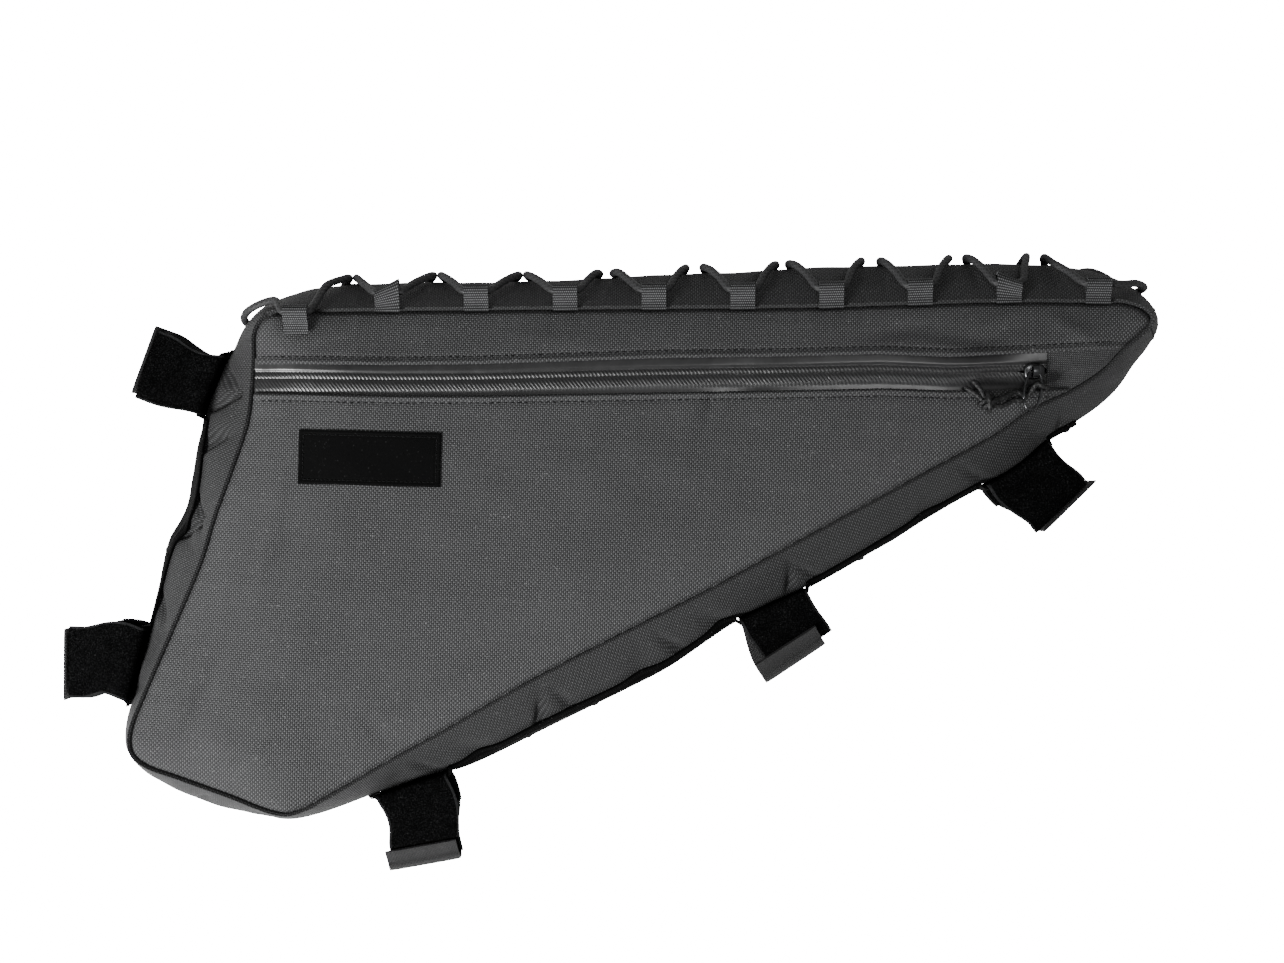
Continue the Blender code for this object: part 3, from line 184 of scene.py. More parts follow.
# %% [markdown]
# The front seam is the bag's main line: the face is sewn to the side cloth all along it. It is kept
# as a table of points, clockwise from the top left corner: x and y as shares of the bag's length and
# height, then the seam's height and how far the side cloth bellies out there.
# %% Table of the front seam
OUTLINE = [
    ("top_left", -0.366, 0.325, 1.14, 0.36), ("", -0.331, 0.330, 1.10, 0.60),
    ("", -0.258, 0.334, 1.02, 0.69), ("", -0.114, 0.337, 1.00, 0.70),
    ("", 0.013, 0.339, 0.98, 0.82), ("", 0.114, 0.340, 1.00, 0.90),
    ("", 0.188, 0.342, 1.01, 0.97), ("", 0.280, 0.348, 1.00, 0.94),
    ("", 0.366, 0.352, 1.00, 0.93), ("", 0.452, 0.350, 1.02, 0.78),
    ("", 0.473, 0.350, 1.04, 0.60), ("", 0.494, 0.334, 1.06, 0.42),
    ("nose", 0.500, 0.316, 1.06, 0.36), ("", 0.493, 0.298, 1.04, 0.42),
    ("", 0.475, 0.265, 1.02, 0.52), ("", 0.455, 0.223, 1.00, 0.62),
    ("", 0.427, 0.186, 1.00, 0.72), ("", 0.387, 0.147, 1.00, 0.80),
    ("", 0.350, 0.096, 0.99, 0.88), ("", 0.294, 0.035, 1.00, 0.88),
    ("", 0.155, -0.115, 1.00, 1.02), ("", 0.072, -0.205, 0.98, 0.92),
    ("", -0.005, -0.283, 0.98, 1.14), ("", -0.112, -0.393, 1.00, 1.06),
    ("", -0.193, -0.486, 1.03, 0.92), ("", -0.246, -0.544, 1.07, 0.70),
    ("", -0.297, -0.602, 1.14, 0.46), ("", -0.331, -0.638, 1.20, 0.32),
    ("lower_corner", -0.347, -0.647, 1.22, 0.28), ("", -0.364, -0.642, 1.20, 0.32),
    ("", -0.405, -0.613, 1.13, 0.48), ("", -0.455, -0.577, 1.13, 0.48),
    ("", -0.487, -0.551, 1.18, 0.36), ("left_end", -0.498, -0.528, 1.20, 0.32),
    ("", -0.499, -0.491, 1.18, 0.34), ("", -0.486, -0.415, 1.10, 0.44),
    ("", -0.461, -0.294, 1.02, 0.66), ("", -0.432, -0.153, 0.99, 0.88),
    ("", -0.420, -0.072, 0.98, 0.68), ("", -0.400, 0.038, 0.99, 0.96),
    ("", -0.387, 0.117, 1.00, 1.10), ("", -0.383, 0.173, 1.01, 1.00),
    ("", -0.380, 0.243, 1.05, 0.74), ("", -0.378, 0.295, 1.12, 0.44),
]
EDGES = {
    "top": ("top_left", "nose"),
    "down": ("nose", "lower_corner"),
    "bottom": ("lower_corner", "left_end"),
    "seat": ("left_end", "top_left"),
}


# %% [markdown]
# A curve through a table can be drawn as a Bezier by hand, or worked out. A centripetal spline is
# used here: it never overshoots a corner, so the seam stays crisp at the nose and the lower corner.
# %% Smooth curves
CLOSEST_KNOTS = 1e-6


def spline_point(p, t, axes=3):
    """Point at share t between the middle two of four points, with knots by their distance."""
    knots = [0.0]
    for a, b in zip(p, p[1:]):
        apart = max(float(np.linalg.norm((b - a)[:axes])), CLOSEST_KNOTS)
        knots.append(knots[-1] + apart ** 0.5)
    x = knots[1] + t * (knots[2] - knots[1])
    for reach in (1, 2):
        p = [p[k] + (p[k + 1] - p[k]) * (x - knots[k]) / (knots[k + reach] - knots[k])
             for k in range(len(p) - 1)]
    return p[0] + (p[1] - p[0]) * (x - knots[1]) / (knots[2] - knots[1])


def smooth_path(points, step):
    """Points about a step apart on a smooth curve through the given ones."""
    rows = [np.array(p, dtype=float) for p in points]
    rows = [2 * rows[0] - rows[1]] + rows + [2 * rows[-1] - rows[-2]]
    made = []
    for i in range(1, len(rows) - 2):
        count = max(1, round(float(np.linalg.norm(rows[i + 1] - rows[i])) / step))
        made.extend(spline_point(rows[i - 1:i + 3], k / count) for k in range(count))
    made.append(rows[-2])
    return np.array(made)


def lengths_along(path):
    """Length walked from the first point to each of them."""
    return np.concatenate([[0.0], np.cumsum(np.linalg.norm(np.diff(path, axis=0), axis=1))])


def unit(vectors):
    """The same directions, one metre long."""
    return vectors / np.linalg.norm(vectors, axis=-1, keepdims=True)


def eased(share):
    """From 0 to 1 without a corner at either end."""
    share = np.clip(share, 0, 1)
    return share * share * (3 - 2 * share)


# %% [markdown]
# Every soft piece asks the seam the same questions: where is it at a given length, which way is
# outwards, and how far away is it. They are answered for whole arrays of points at once, because
# the fine cloth has tens of thousands of points.
# %% The seam by length
class Seam:
    """The closed front seam, by length along it."""

    FINE_STEP = 0.0008
    TURN_STEP = 0.003
    BATCH = 2000
    CLOSEST_SQUARE = 1e-10

    def __init__(self):
        scale = np.array([BAG_LENGTH, BAG_HEIGHT, SEAM_HEIGHT, BELLY])
        rows = [np.array(row[1:]) * scale for row in OUTLINE]
        points = []
        starts = []
        for i in range(len(rows)):
            four = [rows[(i + k) % len(rows)] for k in (-1, 0, 1, 2)]
            steps = max(2, round(math.dist(four[1][:2], four[2][:2]) / self.FINE_STEP))
            starts.append(len(points))
            points.extend(spline_point(four, k / steps, 2) for k in range(steps))
        points.append(points[0])
        self.points = np.array(points)
        self.lengths = np.linalg.norm(np.diff(self.points[:, :2], axis=0), axis=1)
        self.at_length = lengths_along(self.points[:, :2])
        self.total = float(self.at_length[-1])
        self.middles = (self.points[1:] + self.points[:-1]) / 2
        self.marks = {row[0]: float(self.at_length[i]) for row, i in zip(OUTLINE, starts) if row[0]}

    def at(self, s):
        """x, y, seam height and belly at each length."""
        s = np.asarray(s, dtype=float) % self.total
        return [np.interp(s, self.at_length, self.points[:, k]) for k in range(4)]

    def normal(self, s):
        """Outward direction in plan."""
        s = np.asarray(s)
        after, before = self.at(s + self.TURN_STEP), self.at(s - self.TURN_STEP)
        dx, dy = after[0] - before[0], after[1] - before[1]
        size = np.hypot(dx, dy)
        return np.stack([-dy / size, dx / size, np.zeros_like(size)], -1)

    def tangent(self, s):
        out = self.normal(s)
        return np.stack([out[..., 1], -out[..., 0], out[..., 2]], -1)

    def span(self, edge):
        start, end = (self.marks[name] for name in EDGES[edge])
        return start, end if end > start else end + self.total

    def x_at(self, s):
        return float(self.at(s)[0])

    def along(self, edge, share):
        start, end = self.span(edge)
        return start + (end - start) * share

    def near(self, x, y):
        """Distance to the seam, the seam's height carried inwards, and the nearest length."""
        x, y = np.ravel(x), np.ravel(y)
        result = np.empty((3, len(x)))
        for first in range(0, len(x), self.BATCH):
            part = slice(first, first + self.BATCH)
            dx = self.middles[:, 0] - x[part, None]
            dy = self.middles[:, 1] - y[part, None]
            square = np.maximum(dx * dx + dy * dy, self.CLOSEST_SQUARE)
            pull = self.lengths / (square * square)
            total = pull.sum(1)
            result[0, part] = (total / (math.pi / 2)) ** (-1 / 3)
            result[1, part] = (pull * self.middles[:, 2]).sum(1) / total
            result[2, part] = self.at_length[square.argmin(1)]
        return result

    def crossing(self, edge, level):
        """Length along the seam where an edge meets the line y = level(x)."""
        start, end = self.span(edge)
        s = np.linspace(start, end, 2001)
        x, y, _, _ = self.at(s)
        above = y - level(x)
        return float(s[1:][above[1:] * above[:-1] <= 0][0])


seam = Seam()
print("seam: %.0f mm round" % (seam.total * 1000))

# %% [markdown]
# Slack cloth is never smooth. The large dents are the same as in the solid model; on top of them
# come creases too fine for it, gathers along the seams, and a faint unevenness everywhere. They are
# written as tables and sines instead of noise, so that the result is the same every time.
# %% Tables of folds
# x and y shares, direction in degrees, half length and half width / height, depth / FOLD_DEPTH
FACE_FOLDS = [
    (0.375, 0.300, 20, 0.10, 0.030, -0.55), (0.290, 0.285, -12, 0.16, 0.032, -0.45),
    (0.150, 0.290, 4, 0.20, 0.030, -0.25), (-0.240, 0.275, 8, 0.16, 0.030, -0.25),
    (0.085, 0.120, 62, 0.13, 0.045, -0.35), (0.230, 0.090, 30, 0.20, 0.045, 0.35),
    (-0.050, -0.200, 35, 0.28, 0.070, 0.45), (-0.150, -0.330, 28, 0.22, 0.050, -0.40),
    (-0.340, -0.300, 72, 0.26, 0.080, 0.55), (-0.400, -0.480, 40, 0.14, 0.050, 0.60),
    (-0.300, -0.560, -62, 0.12, 0.045, -0.50), (-0.330, 0.080, 84, 0.20, 0.050, -0.30),
]
FACE_CREASES = [
    (0.345, 0.290, 28, 0.070, 0.018, -0.55), (0.310, 0.262, -8, 0.090, 0.018, 0.45),
    (0.255, 0.300, 12, 0.080, 0.016, -0.45), (0.420, 0.305, -30, 0.060, 0.016, 0.45),
    (-0.310, 0.270, 20, 0.060, 0.012, -0.18), (-0.090, 0.280, -6, 0.090, 0.014, 0.12),
    (0.070, 0.165, 70, 0.050, 0.012, -0.30), (0.270, 0.110, 42, 0.090, 0.016, -0.20),
    (-0.425, -0.400, 65, 0.090, 0.016, -0.24), (-0.380, -0.540, 35, 0.060, 0.014, 0.26),
    (-0.255, -0.500, -50, 0.060, 0.014, -0.22), (-0.200, -0.420, 30, 0.120, 0.020, 0.16),
    (0.350, 0.150, 36, 0.080, 0.014, 0.18), (-0.365, -0.120, 78, 0.100, 0.018, 0.14),
]
# edge, share along it, slant, half width as a share of the edge, depth / belly
GUSSET_FOLDS = [
    ("top", 0.10, 0.020, 0.012, 0.10), ("top", 0.43, -0.030, 0.016, 0.08),
    ("top", 0.68, 0.025, 0.014, 0.09), ("top", 0.90, -0.015, 0.010, 0.12),
    ("down", 0.06, 0.020, 0.012, 0.12), ("down", 0.30, -0.030, 0.014, 0.09),
    ("down", 0.52, 0.030, 0.012, 0.14), ("down", 0.63, -0.025, 0.016, 0.10),
    ("down", 0.80, 0.035, 0.014, 0.14), ("down", 0.90, -0.020, 0.012, 0.12),
    ("bottom", 0.30, 0.050, 0.060, 0.10), ("bottom", 0.80, -0.060, 0.050, 0.10),
    ("seat", 0.20, 0.040, 0.030, 0.10), ("seat", 0.50, -0.050, 0.022, 0.16),
    ("seat", 0.78, 0.050, 0.030, 0.14),
]
GUSSET_CREASES = [
    ("top", 0.18, -0.018, 0.006, 0.12), ("top", 0.33, 0.014, 0.006, 0.10),
    ("top", 0.56, -0.020, 0.007, 0.13), ("top", 0.79, 0.016, 0.006, 0.12),
    ("top", 0.96, -0.012, 0.006, 0.16), ("down", 0.13, -0.016, 0.006, 0.14),
    ("down", 0.22, 0.022, 0.006, 0.16), ("down", 0.415, 0.030, 0.005, 0.22),
    ("down", 0.455, -0.022, 0.005, 0.20), ("down", 0.57, 0.026, 0.006, 0.20),
    ("down", 0.70, 0.012, 0.006, 0.16), ("down", 0.745, -0.028, 0.006, 0.22),
    ("down", 0.85, 0.024, 0.006, 0.18), ("bottom", 0.12, 0.060, 0.040, 0.30),
    ("bottom", 0.55, -0.080, 0.040, 0.30), ("bottom", 0.93, 0.060, 0.030, 0.34),
    ("seat", 0.10, 0.060, 0.018, 0.30), ("seat", 0.33, -0.070, 0.018, 0.34),
    ("seat", 0.46, 0.110, 0.016, 0.44), ("seat", 0.57, -0.090, 0.016, 0.40),
    ("seat", 0.66, 0.080, 0.016, 0.40), ("seat", 0.76, 0.090, 0.014, 0.34),
    ("seat", 0.88, -0.080, 0.018, 0.40),
]
# x share, y share of the zip's meeting line, and its opening / ZIP_OPENING
ZIP_LINE = np.array([
    (-0.400, 0.203, 0.85), (-0.250, 0.198, 0.91), (-0.160, 0.199, 0.94),
    (0.016, 0.208, 1.03), (0.150, 0.212, 1.02), (0.234, 0.216, 1.03),
    (0.301, 0.211, 1.00), (0.380, 0.216, 1.09), (0.480, 0.224, 1.15),
])


# %% [markdown]
# The face of the bag is one height over the floor plan: the seam's height, a soft dome, its dents,
# and at its rim a short roll down into the seam. A cloth simulation would give such a shape too, but
# these dents have to lie where the picture shows them, and a formula puts them there.
# %% Height of the face
ROLL_DROP = 2.0 * MM
ROLL_WIDTH = 1.0 * MM
GATHER = 0.32 * MM
GATHER_WIDTH = 6.0 * MM
UNEVEN = 0.22 * MM
CREASE_DEPTH = 1.5


def gathers(s):
    """Small ripples of the cloth along a seam, from -1 to 1."""
    fine = np.sin(s / 0.0017) + 0.8 * np.sin(s / 0.00247 + 1.3)
    return fine * (0.5 + 0.5 * np.sin(s / 0.0213 + 0.7)) / 1.8


def folds_at(x, y, table):
    total = np.zeros_like(x)
    for at_x, at_y, degrees, length, width, depth in table:
        dx, dy = x - at_x * BAG_LENGTH, y - at_y * BAG_HEIGHT
        turn = math.radians(degrees)
        along = (dx * math.cos(turn) + dy * math.sin(turn)) / (length * BAG_HEIGHT)
        across = (dy * math.cos(turn) - dx * math.sin(turn)) / (width * BAG_HEIGHT)
        total += depth * FOLD_DEPTH * np.exp(-along ** 2 - across ** 2)
    return total


def face_height(x, y, fine=True):
    """Height of the face; without fine it is the solid model's own."""
    x, y = np.asarray(x, dtype=float), np.asarray(y, dtype=float)
    flat_x, flat_y = np.ravel(x), np.ravel(y)
    distance, height, s = seam.near(flat_x, flat_y)
    inside = np.minimum(1.0, distance / DOME_ROLL)
    height = height + DOME * (1 - np.exp(-distance / DOME_ROLL))
    height += inside * folds_at(flat_x, flat_y, FACE_FOLDS)
    if fine:
        height += CREASE_DEPTH * inside * folds_at(flat_x, flat_y, FACE_CREASES)
        wave = np.sin(flat_x / 0.0121 + 1.7 * np.sin(flat_y / 0.019))
        height += UNEVEN * inside * wave * np.sin(flat_y / 0.0093 + flat_x / 0.031)
        pulled = np.exp(-distance / GATHER_WIDTH) * np.minimum(1.0, distance / ROLL_WIDTH)
        height += GATHER * gathers(s) * pulled
        height -= ROLL_DROP * np.exp(-(distance / ROLL_WIDTH) ** 2)
    return height.reshape(x.shape)


def zip_line(x):
    """Meeting line of the zip in plan, and half of its opening."""
    xs = ZIP_LINE[:, 0] * BAG_LENGTH
    middle = np.interp(x, xs, ZIP_LINE[:, 1] * BAG_HEIGHT)
    return middle, np.interp(x, xs, ZIP_LINE[:, 2] * ZIP_OPENING) / 2


def upper_welt(x):
    middle, half = zip_line(x)
    return middle + half


def lower_welt(x):
    middle, half = zip_line(x)
    return middle - half


# %% [markdown]
# Beside the zip both face cloths are folded under and stitched down, which leaves a rib along the
# edge and a shallow groove where the stitches pull. It is added as a profile across the zip.
# %% Folded edges along the zip
RIB_RISE = 0.75 * MM
RIB_AT = 1.5 * MM
RIB_WIDTH = 1.1 * MM
LIP_DROP = 0.9 * MM
LIP_WIDTH = 0.5 * MM
WELT_STITCH_AT = 4.0 * MM
GROOVE = 0.4 * MM
GROOVE_WIDTH = 0.7 * MM


def welt_profile(away):
    """Change of height of the folded edge, by distance from it."""
    rib = RIB_RISE * np.exp(-((away - RIB_AT) / RIB_WIDTH) ** 2)
    lip = LIP_DROP * np.exp(-(away / LIP_WIDTH) ** 2)
    groove = GROOVE * np.exp(-((away - WELT_STITCH_AT) / GROOVE_WIDTH) ** 2)
    return rib - lip - groove


def face_skin(x, y):
    """The sewn face with its folded edges along the zip."""
    middle, half = zip_line(x)
    away = np.maximum(np.abs(y - middle) - half, 0.0)
    return face_height(x, y) + welt_profile(away)


# %% [markdown]
# The side cloth goes once round the bag. In section it is a rounded wedge between the two seams,
# fullest halfway up. Lengths round the seam and a share up the section name every point on it.
# %% The side cloth's surface
SIDE_WAVE = 0.25 * MM


def side_skin(s, w, fine=True):
    """Outer surface of the side cloth: w is 0 at the back seam and 1 at the front."""
    s, w = np.broadcast_arrays(np.asarray(s, dtype=float), np.asarray(w, dtype=float))
    x, y, seam_height, belly = seam.at(s)
    side = 2 * w - 1
    bulge = 1 - np.abs(side) ** GUSSET_ROUND
    reach = SEAM_OPENING + (belly - SEAM_OPENING) * bulge
    for edge, share, slant, width, depth in GUSSET_FOLDS + (GUSSET_CREASES if fine else []):
        start, end = seam.span(edge)
        length = end - start
        away = s - start - (share + slant * side) * length
        away = (away + seam.total / 2) % seam.total - seam.total / 2
        dent = np.exp(-(away / (width * length)) ** 2) * bulge * np.abs(np.sin(math.tau * w))
        reach = reach - depth * belly * dent
    if fine:
        near_seam = np.exp(-(1 - w) * 7) + np.exp(-w * 7)
        reach = reach - 0.6 * GATHER * (1 + gathers(s + 0.004)) * near_seam
        slanted = s + 0.012 * side
        reach = reach + SIDE_WAVE * bulge * np.sin(slanted / 0.0067) * np.sin(slanted / 0.0173)
    height = BACK_SEAM_HEIGHT + (seam_height - BACK_SEAM_HEIGHT) * w
    place = np.stack([x, y, height], -1)
    return place + seam.normal(s) * reach[..., None]


def off_side(s, w, lift):
    """A point held off the side cloth, square to its section."""
    rise = side_skin(s, min(1.0, w + 0.02), False) - side_skin(s, max(0.0, w - 0.02), False)
    away = unit(np.cross(seam.tangent(s), rise))
    away *= np.sign(np.dot(away, seam.normal(s)))
    return side_skin(s, w, False) + away * lift


# %% [markdown]
# ## Finishes
# Shader trees are made of many small sums. Three short helpers keep them readable: one adds a node
# and joins its inputs, one does arithmetic, and one opens a node group with named sockets.
# %% Node helpers
def add_node(tree, kind, inputs, **settings):
    node = tree.nodes.new("ShaderNode" + kind)
    for key, value in settings.items():
        setattr(node, key, value)
    for key, value in inputs.items():
        if isinstance(value, bpy.types.NodeSocket):
            tree.links.new(value, node.inputs[key])
        else:
            node.inputs[key].default_value = value
    return node


def calc(tree, operation, *values):
    return add_node(tree, "Math", dict(enumerate(values)), operation=operation).outputs[0]


def new_group(name, inputs, outputs):
    tree = bpy.data.node_groups.new(name, "ShaderNodeTree")
    for socket, kind, start in inputs:
        made = tree.interface.new_socket(name=socket, in_out="INPUT", socket_type="NodeSocket" + kind)
        if start is not None:
            made.default_value = start
    for socket in outputs:
        tree.interface.new_socket(name=socket, in_out="OUTPUT", socket_type="NodeSocketFloat")
    given = tree.nodes.new("NodeGroupInput").outputs
    wanted = tree.nodes.new("NodeGroupOutput").inputs
    return tree, given, wanted


# %% [markdown]
# Pack cloth is a plain weave: each thread goes over one and under the next. Two sine waves make the
# rounded threads, and the sign of their product says which of the two lies on top. Every mesh here
# carries a "lay" attribute, the cloth's own flat coordinates in metres, so the threads follow the
# cloth round its curves, as a texture image on a sewing pattern would.
# %% Group: woven threads
def woven_threads():
    tree, given, wanted = new_group(
        "woven threads",
        [("Lay", "Vector", None), ("Thread", "Float", 0.001), ("Turn", "Float", 0.0)],
        ["Relief", "Warp on top", "Thread shade"])
    turned = add_node(tree, "VectorRotate", {"Vector": given["Lay"], "Angle": given["Turn"]},
                      rotation_type="Z_AXIS").outputs[0]
    apart = add_node(tree, "SeparateXYZ", {0: turned}).outputs
    u = calc(tree, "DIVIDE", apart[0], given["Thread"])
    v = calc(tree, "DIVIDE", apart[1], given["Thread"])
    sine_u = calc(tree, "SINE", calc(tree, "MULTIPLY", u, math.pi))
    sine_v = calc(tree, "SINE", calc(tree, "MULTIPLY", v, math.pi))
    round_u = calc(tree, "ABSOLUTE", sine_u)
    round_v = calc(tree, "ABSOLUTE", sine_v)
    over = calc(tree, "GREATER_THAN", calc(tree, "MULTIPLY", sine_u, sine_v), 0.0)
    tree.links.new(over, wanted["Warp on top"])
    warp = calc(tree, "MULTIPLY", round_u, calc(tree, "MULTIPLY_ADD", round_v, 0.6, 0.4))
    weft = calc(tree, "MULTIPLY", round_v, calc(tree, "MULTIPLY_ADD", round_u, 0.6, 0.2))
    tree.links.new(
        calc(tree, "MULTIPLY_ADD", over, calc(tree, "SUBTRACT", warp, weft), weft), wanted["Relief"])
    shade_u = add_node(tree, "TexWhiteNoise", {"W": calc(tree, "FLOOR", u)}, noise_dimensions="1D")
    shade_v = add_node(tree, "TexWhiteNoise", {"W": calc(tree, "ADD", calc(tree, "FLOOR", v), 0.5)},
                       noise_dimensions="1D")
    change = calc(tree, "SUBTRACT", shade_u.outputs["Value"], shade_v.outputs["Value"])
    tree.links.new(
        calc(tree, "MULTIPLY_ADD", over, change, shade_v.outputs["Value"]), wanted["Thread shade"])
    return tree


# %% [markdown]
# Webbing is woven narrow and thick, so its ribs stand out in rows of small grains. It is its own
# group, because straps, tabs and the tape along the edges all share it.
# %% Group: webbing grain
def webbing_grain():
    tree, given, wanted = new_group(
        "webbing grain",
        [("Lay", "Vector", None), ("Rib", "Float", 0.002), ("Grain", "Float", 0.0009)],
        ["Relief"])
    apart = add_node(tree, "SeparateXYZ", {0: given["Lay"]}).outputs
    u = calc(tree, "DIVIDE", apart[0], given["Rib"])
    row = calc(tree, "MULTIPLY", calc(tree, "FLOOR", u), 0.5)
    v = calc(tree, "ADD", calc(tree, "DIVIDE", apart[1], given["Grain"]), row)
    across = calc(tree, "ABSOLUTE", calc(tree, "SINE", calc(tree, "MULTIPLY", u, math.pi)))
    grain = calc(tree, "ABSOLUTE", calc(tree, "SINE", calc(tree, "MULTIPLY", v, math.pi)))
    tree.links.new(
        calc(tree, "MULTIPLY", across, calc(tree, "MULTIPLY_ADD", grain, 0.7, 0.3)), wanted["Relief"])
    return tree


# %% [markdown]
# A round cord has a braided sheath. Around the cord the lay holds the sine and cosine of the angle,
# which meet without a jump, and two opposed spirals through that angle make the diamond pattern.
# %% Group: braided sheath
def braided_sheath():
    tree, given, wanted = new_group(
        "braided sheath",
        [("Lay", "Vector", None), ("Pitch", "Float", 0.004), ("Strands", "Float", 4.0)],
        ["Relief"])
    apart = add_node(tree, "SeparateXYZ", {0: given["Lay"]}).outputs
    angle = calc(tree, "ARCTAN2", apart[2], apart[1])
    turns = calc(tree, "MULTIPLY", angle, given["Strands"])
    along = calc(tree, "MULTIPLY", calc(tree, "DIVIDE", apart[0], given["Pitch"]), math.tau)
    one = calc(tree, "SINE", calc(tree, "ADD", along, turns))
    other = calc(tree, "SINE", calc(tree, "SUBTRACT", along, turns))
    tree.links.new(
        calc(tree, "MULTIPLY_ADD", calc(tree, "MAXIMUM", one, other), 0.5, 0.5), wanted["Relief"])
    return tree


# %% [markdown]
# Handling leaves cloth a little uneven in tone, with specks of lint. Both masks come from one group
# that every soft material uses with its own amounts.
# %% Group: tone and lint
def tone_and_lint():
    tree, given, wanted = new_group(
        "tone and lint",
        [("Place", "Vector", None), ("Size", "Float", 0.03), ("Lint", "Float", 0.1)],
        ["Tone", "Lint specks"])
    scale = calc(tree, "DIVIDE", 1.0, given["Size"])
    cloud = add_node(tree, "TexNoise", {"Vector": given["Place"], "Scale": scale, "Detail": 4.0,
                                        "Roughness": 0.6})
    tree.links.new(cloud.outputs["Fac"], wanted["Tone"])
    specks = add_node(tree, "TexNoise", {"Vector": given["Place"], "Scale": 900.0, "Detail": 1.0})
    high = add_node(tree, "MapRange",
                    {"Value": specks.outputs["Fac"], "From Min": 0.70, "From Max": 0.78})
    tree.links.new(calc(tree, "MULTIPLY", high.outputs[0], given["Lint"]), wanted["Lint specks"])
    return tree


GROUPS = {"threads": woven_threads(), "webbing": webbing_grain(),
          "braid": braided_sheath(), "tone": tone_and_lint()}
print("groups:", ", ".join(GROUPS))


# %% [markdown]
# A finish mixes two tones of one colour by the relief of its threads and by the wear mask, and sends
# the same relief to a bump. Mixing by relief is painted shade: the low places between threads are made
# darker. Roughness and sheen are the same all over, so they are set on the shader's own sockets.
# %% Material helpers
def open_material(name, roughness, metallic=0.0, sheen=0.0, coat=0.0, gloss=0.5):
    finish = bpy.data.materials.new(name)
    finish.use_nodes = True
    tree = finish.node_tree
    shader = tree.nodes["Principled BSDF"]
    shader.inputs["Roughness"].default_value = roughness
    shader.inputs["Metallic"].default_value = metallic
    shader.inputs["Sheen Weight"].default_value = sheen
    shader.inputs["Sheen Roughness"].default_value = 0.5
    shader.inputs["Coat Weight"].default_value = coat
    shader.inputs["Specular IOR Level"].default_value = gloss
    shader.inputs["Coat Roughness"].default_value = 0.15
    lay = add_node(tree, "Attribute", {}, attribute_name="lay").outputs["Vector"]
    place = add_node(tree, "TexCoord", {}).outputs["Object"]
    return finish, tree, shader, lay, place


def use_group(tree, key, **inputs):
    node = tree.nodes.new("ShaderNodeGroup")
    node.node_tree = GROUPS[key]
    for name, value in inputs.items():
        name = name.replace("_", " ")
        if isinstance(value, bpy.types.NodeSocket):
            tree.links.new(value, node.inputs[name])
        else:
            node.inputs[name].default_value = value
    return node.outputs


def colour_and_bump(tree, shader, mask, relief, dark, light, depth, lint=None):
    """Dark to light by the mask, and a bump as deep as the real relief."""
    ends = [(tone, tone * 1.01, tone * 1.04, 1.0) for tone in (dark, light)]
    mixed = add_node(tree, "Mix", {"Factor": mask}, data_type="RGBA")
    mixed.inputs[6].default_value, mixed.inputs[7].default_value = ends
    colour = mixed.outputs[2]
    if lint is not None:
        dusted = add_node(tree, "Mix", {"Factor": lint}, data_type="RGBA")
        dusted.inputs[7].default_value = (0.35, 0.35, 0.35, 1.0)
        tree.links.new(colour, dusted.inputs[6])
        colour = dusted.outputs[2]
    tree.links.new(colour, shader.inputs["Base Color"])
    bump = add_node(tree, "Bump", {"Height": relief, "Strength": 1.0, "Distance": depth})
    tree.links.new(bump.outputs[0], shader.inputs["Normal"])


# %% Cloth finishes
WOVEN_EDGE = 1.2 * MM


def cloth_finish(name, dark, light, thread, turn, depth, roughness, gloss, lint):
    finish, tree, shader, lay, place = open_material(name, roughness, sheen=0.04, gloss=gloss)
    woven = use_group(tree, "threads", Lay=lay, Thread=thread, Turn=turn)
    worn = use_group(tree, "tone", Place=place, Size=0.035, Lint=lint)
    # Painted light in the cloth's colour: threads lying on top are made lighter as a painted
    # highlight, and the low places between threads darker as painted shade. The thread-by-thread and
    # cloudy tones are random differences of dye and handling.
    lit = calc(tree, "MULTIPLY_ADD", woven["Warp on top"], 0.70, 0.12)
    mask = calc(tree, "MULTIPLY", woven["Relief"], lit)
    mask = calc(tree, "MULTIPLY_ADD", woven["Thread shade"], 0.06, mask)
    mask = calc(tree, "MULTIPLY_ADD", worn["Tone"], 0.16, mask)
    colour_and_bump(tree, shader, mask, woven["Relief"], dark, light, depth, worn["Lint specks"])
    return finish


# %% [markdown]
# The fuzzy half of a strap is black pile with sparse bright curls, between two woven edges. A weave
# would look too orderly here, so a fine noise raised to a power leaves only its peaks.
# %% Finish of the fuzzy tape
def fuzzy_finish(name, dark, light, roughness):
    finish, tree, shader, lay, place = open_material(name, roughness, gloss=0.0)
    curls = add_node(tree, "TexNoise", {"Vector": place, "Scale": 1300.0, "Detail": 2.0})
    sparse = calc(tree, "POWER", curls.outputs["Fac"], 5.0)
    across = add_node(tree, "SeparateXYZ", {"Vector": lay}).outputs["Y"]
    edge = calc(tree, "GREATER_THAN", calc(tree, "ABSOLUTE", across), STRAP_WIDTH / 2 - WOVEN_EDGE)
    worn = use_group(tree, "tone", Place=place, Size=0.008, Lint=0.04)
    mask = calc(tree, "MULTIPLY_ADD", edge, 0.25, sparse)
    mask = calc(tree, "MULTIPLY", mask, worn["Tone"])
    pile = curls.outputs["Fac"]
    colour_and_bump(tree, shader, mask, pile, dark, light, 0.8 * MM, worn["Lint specks"])
    return finish


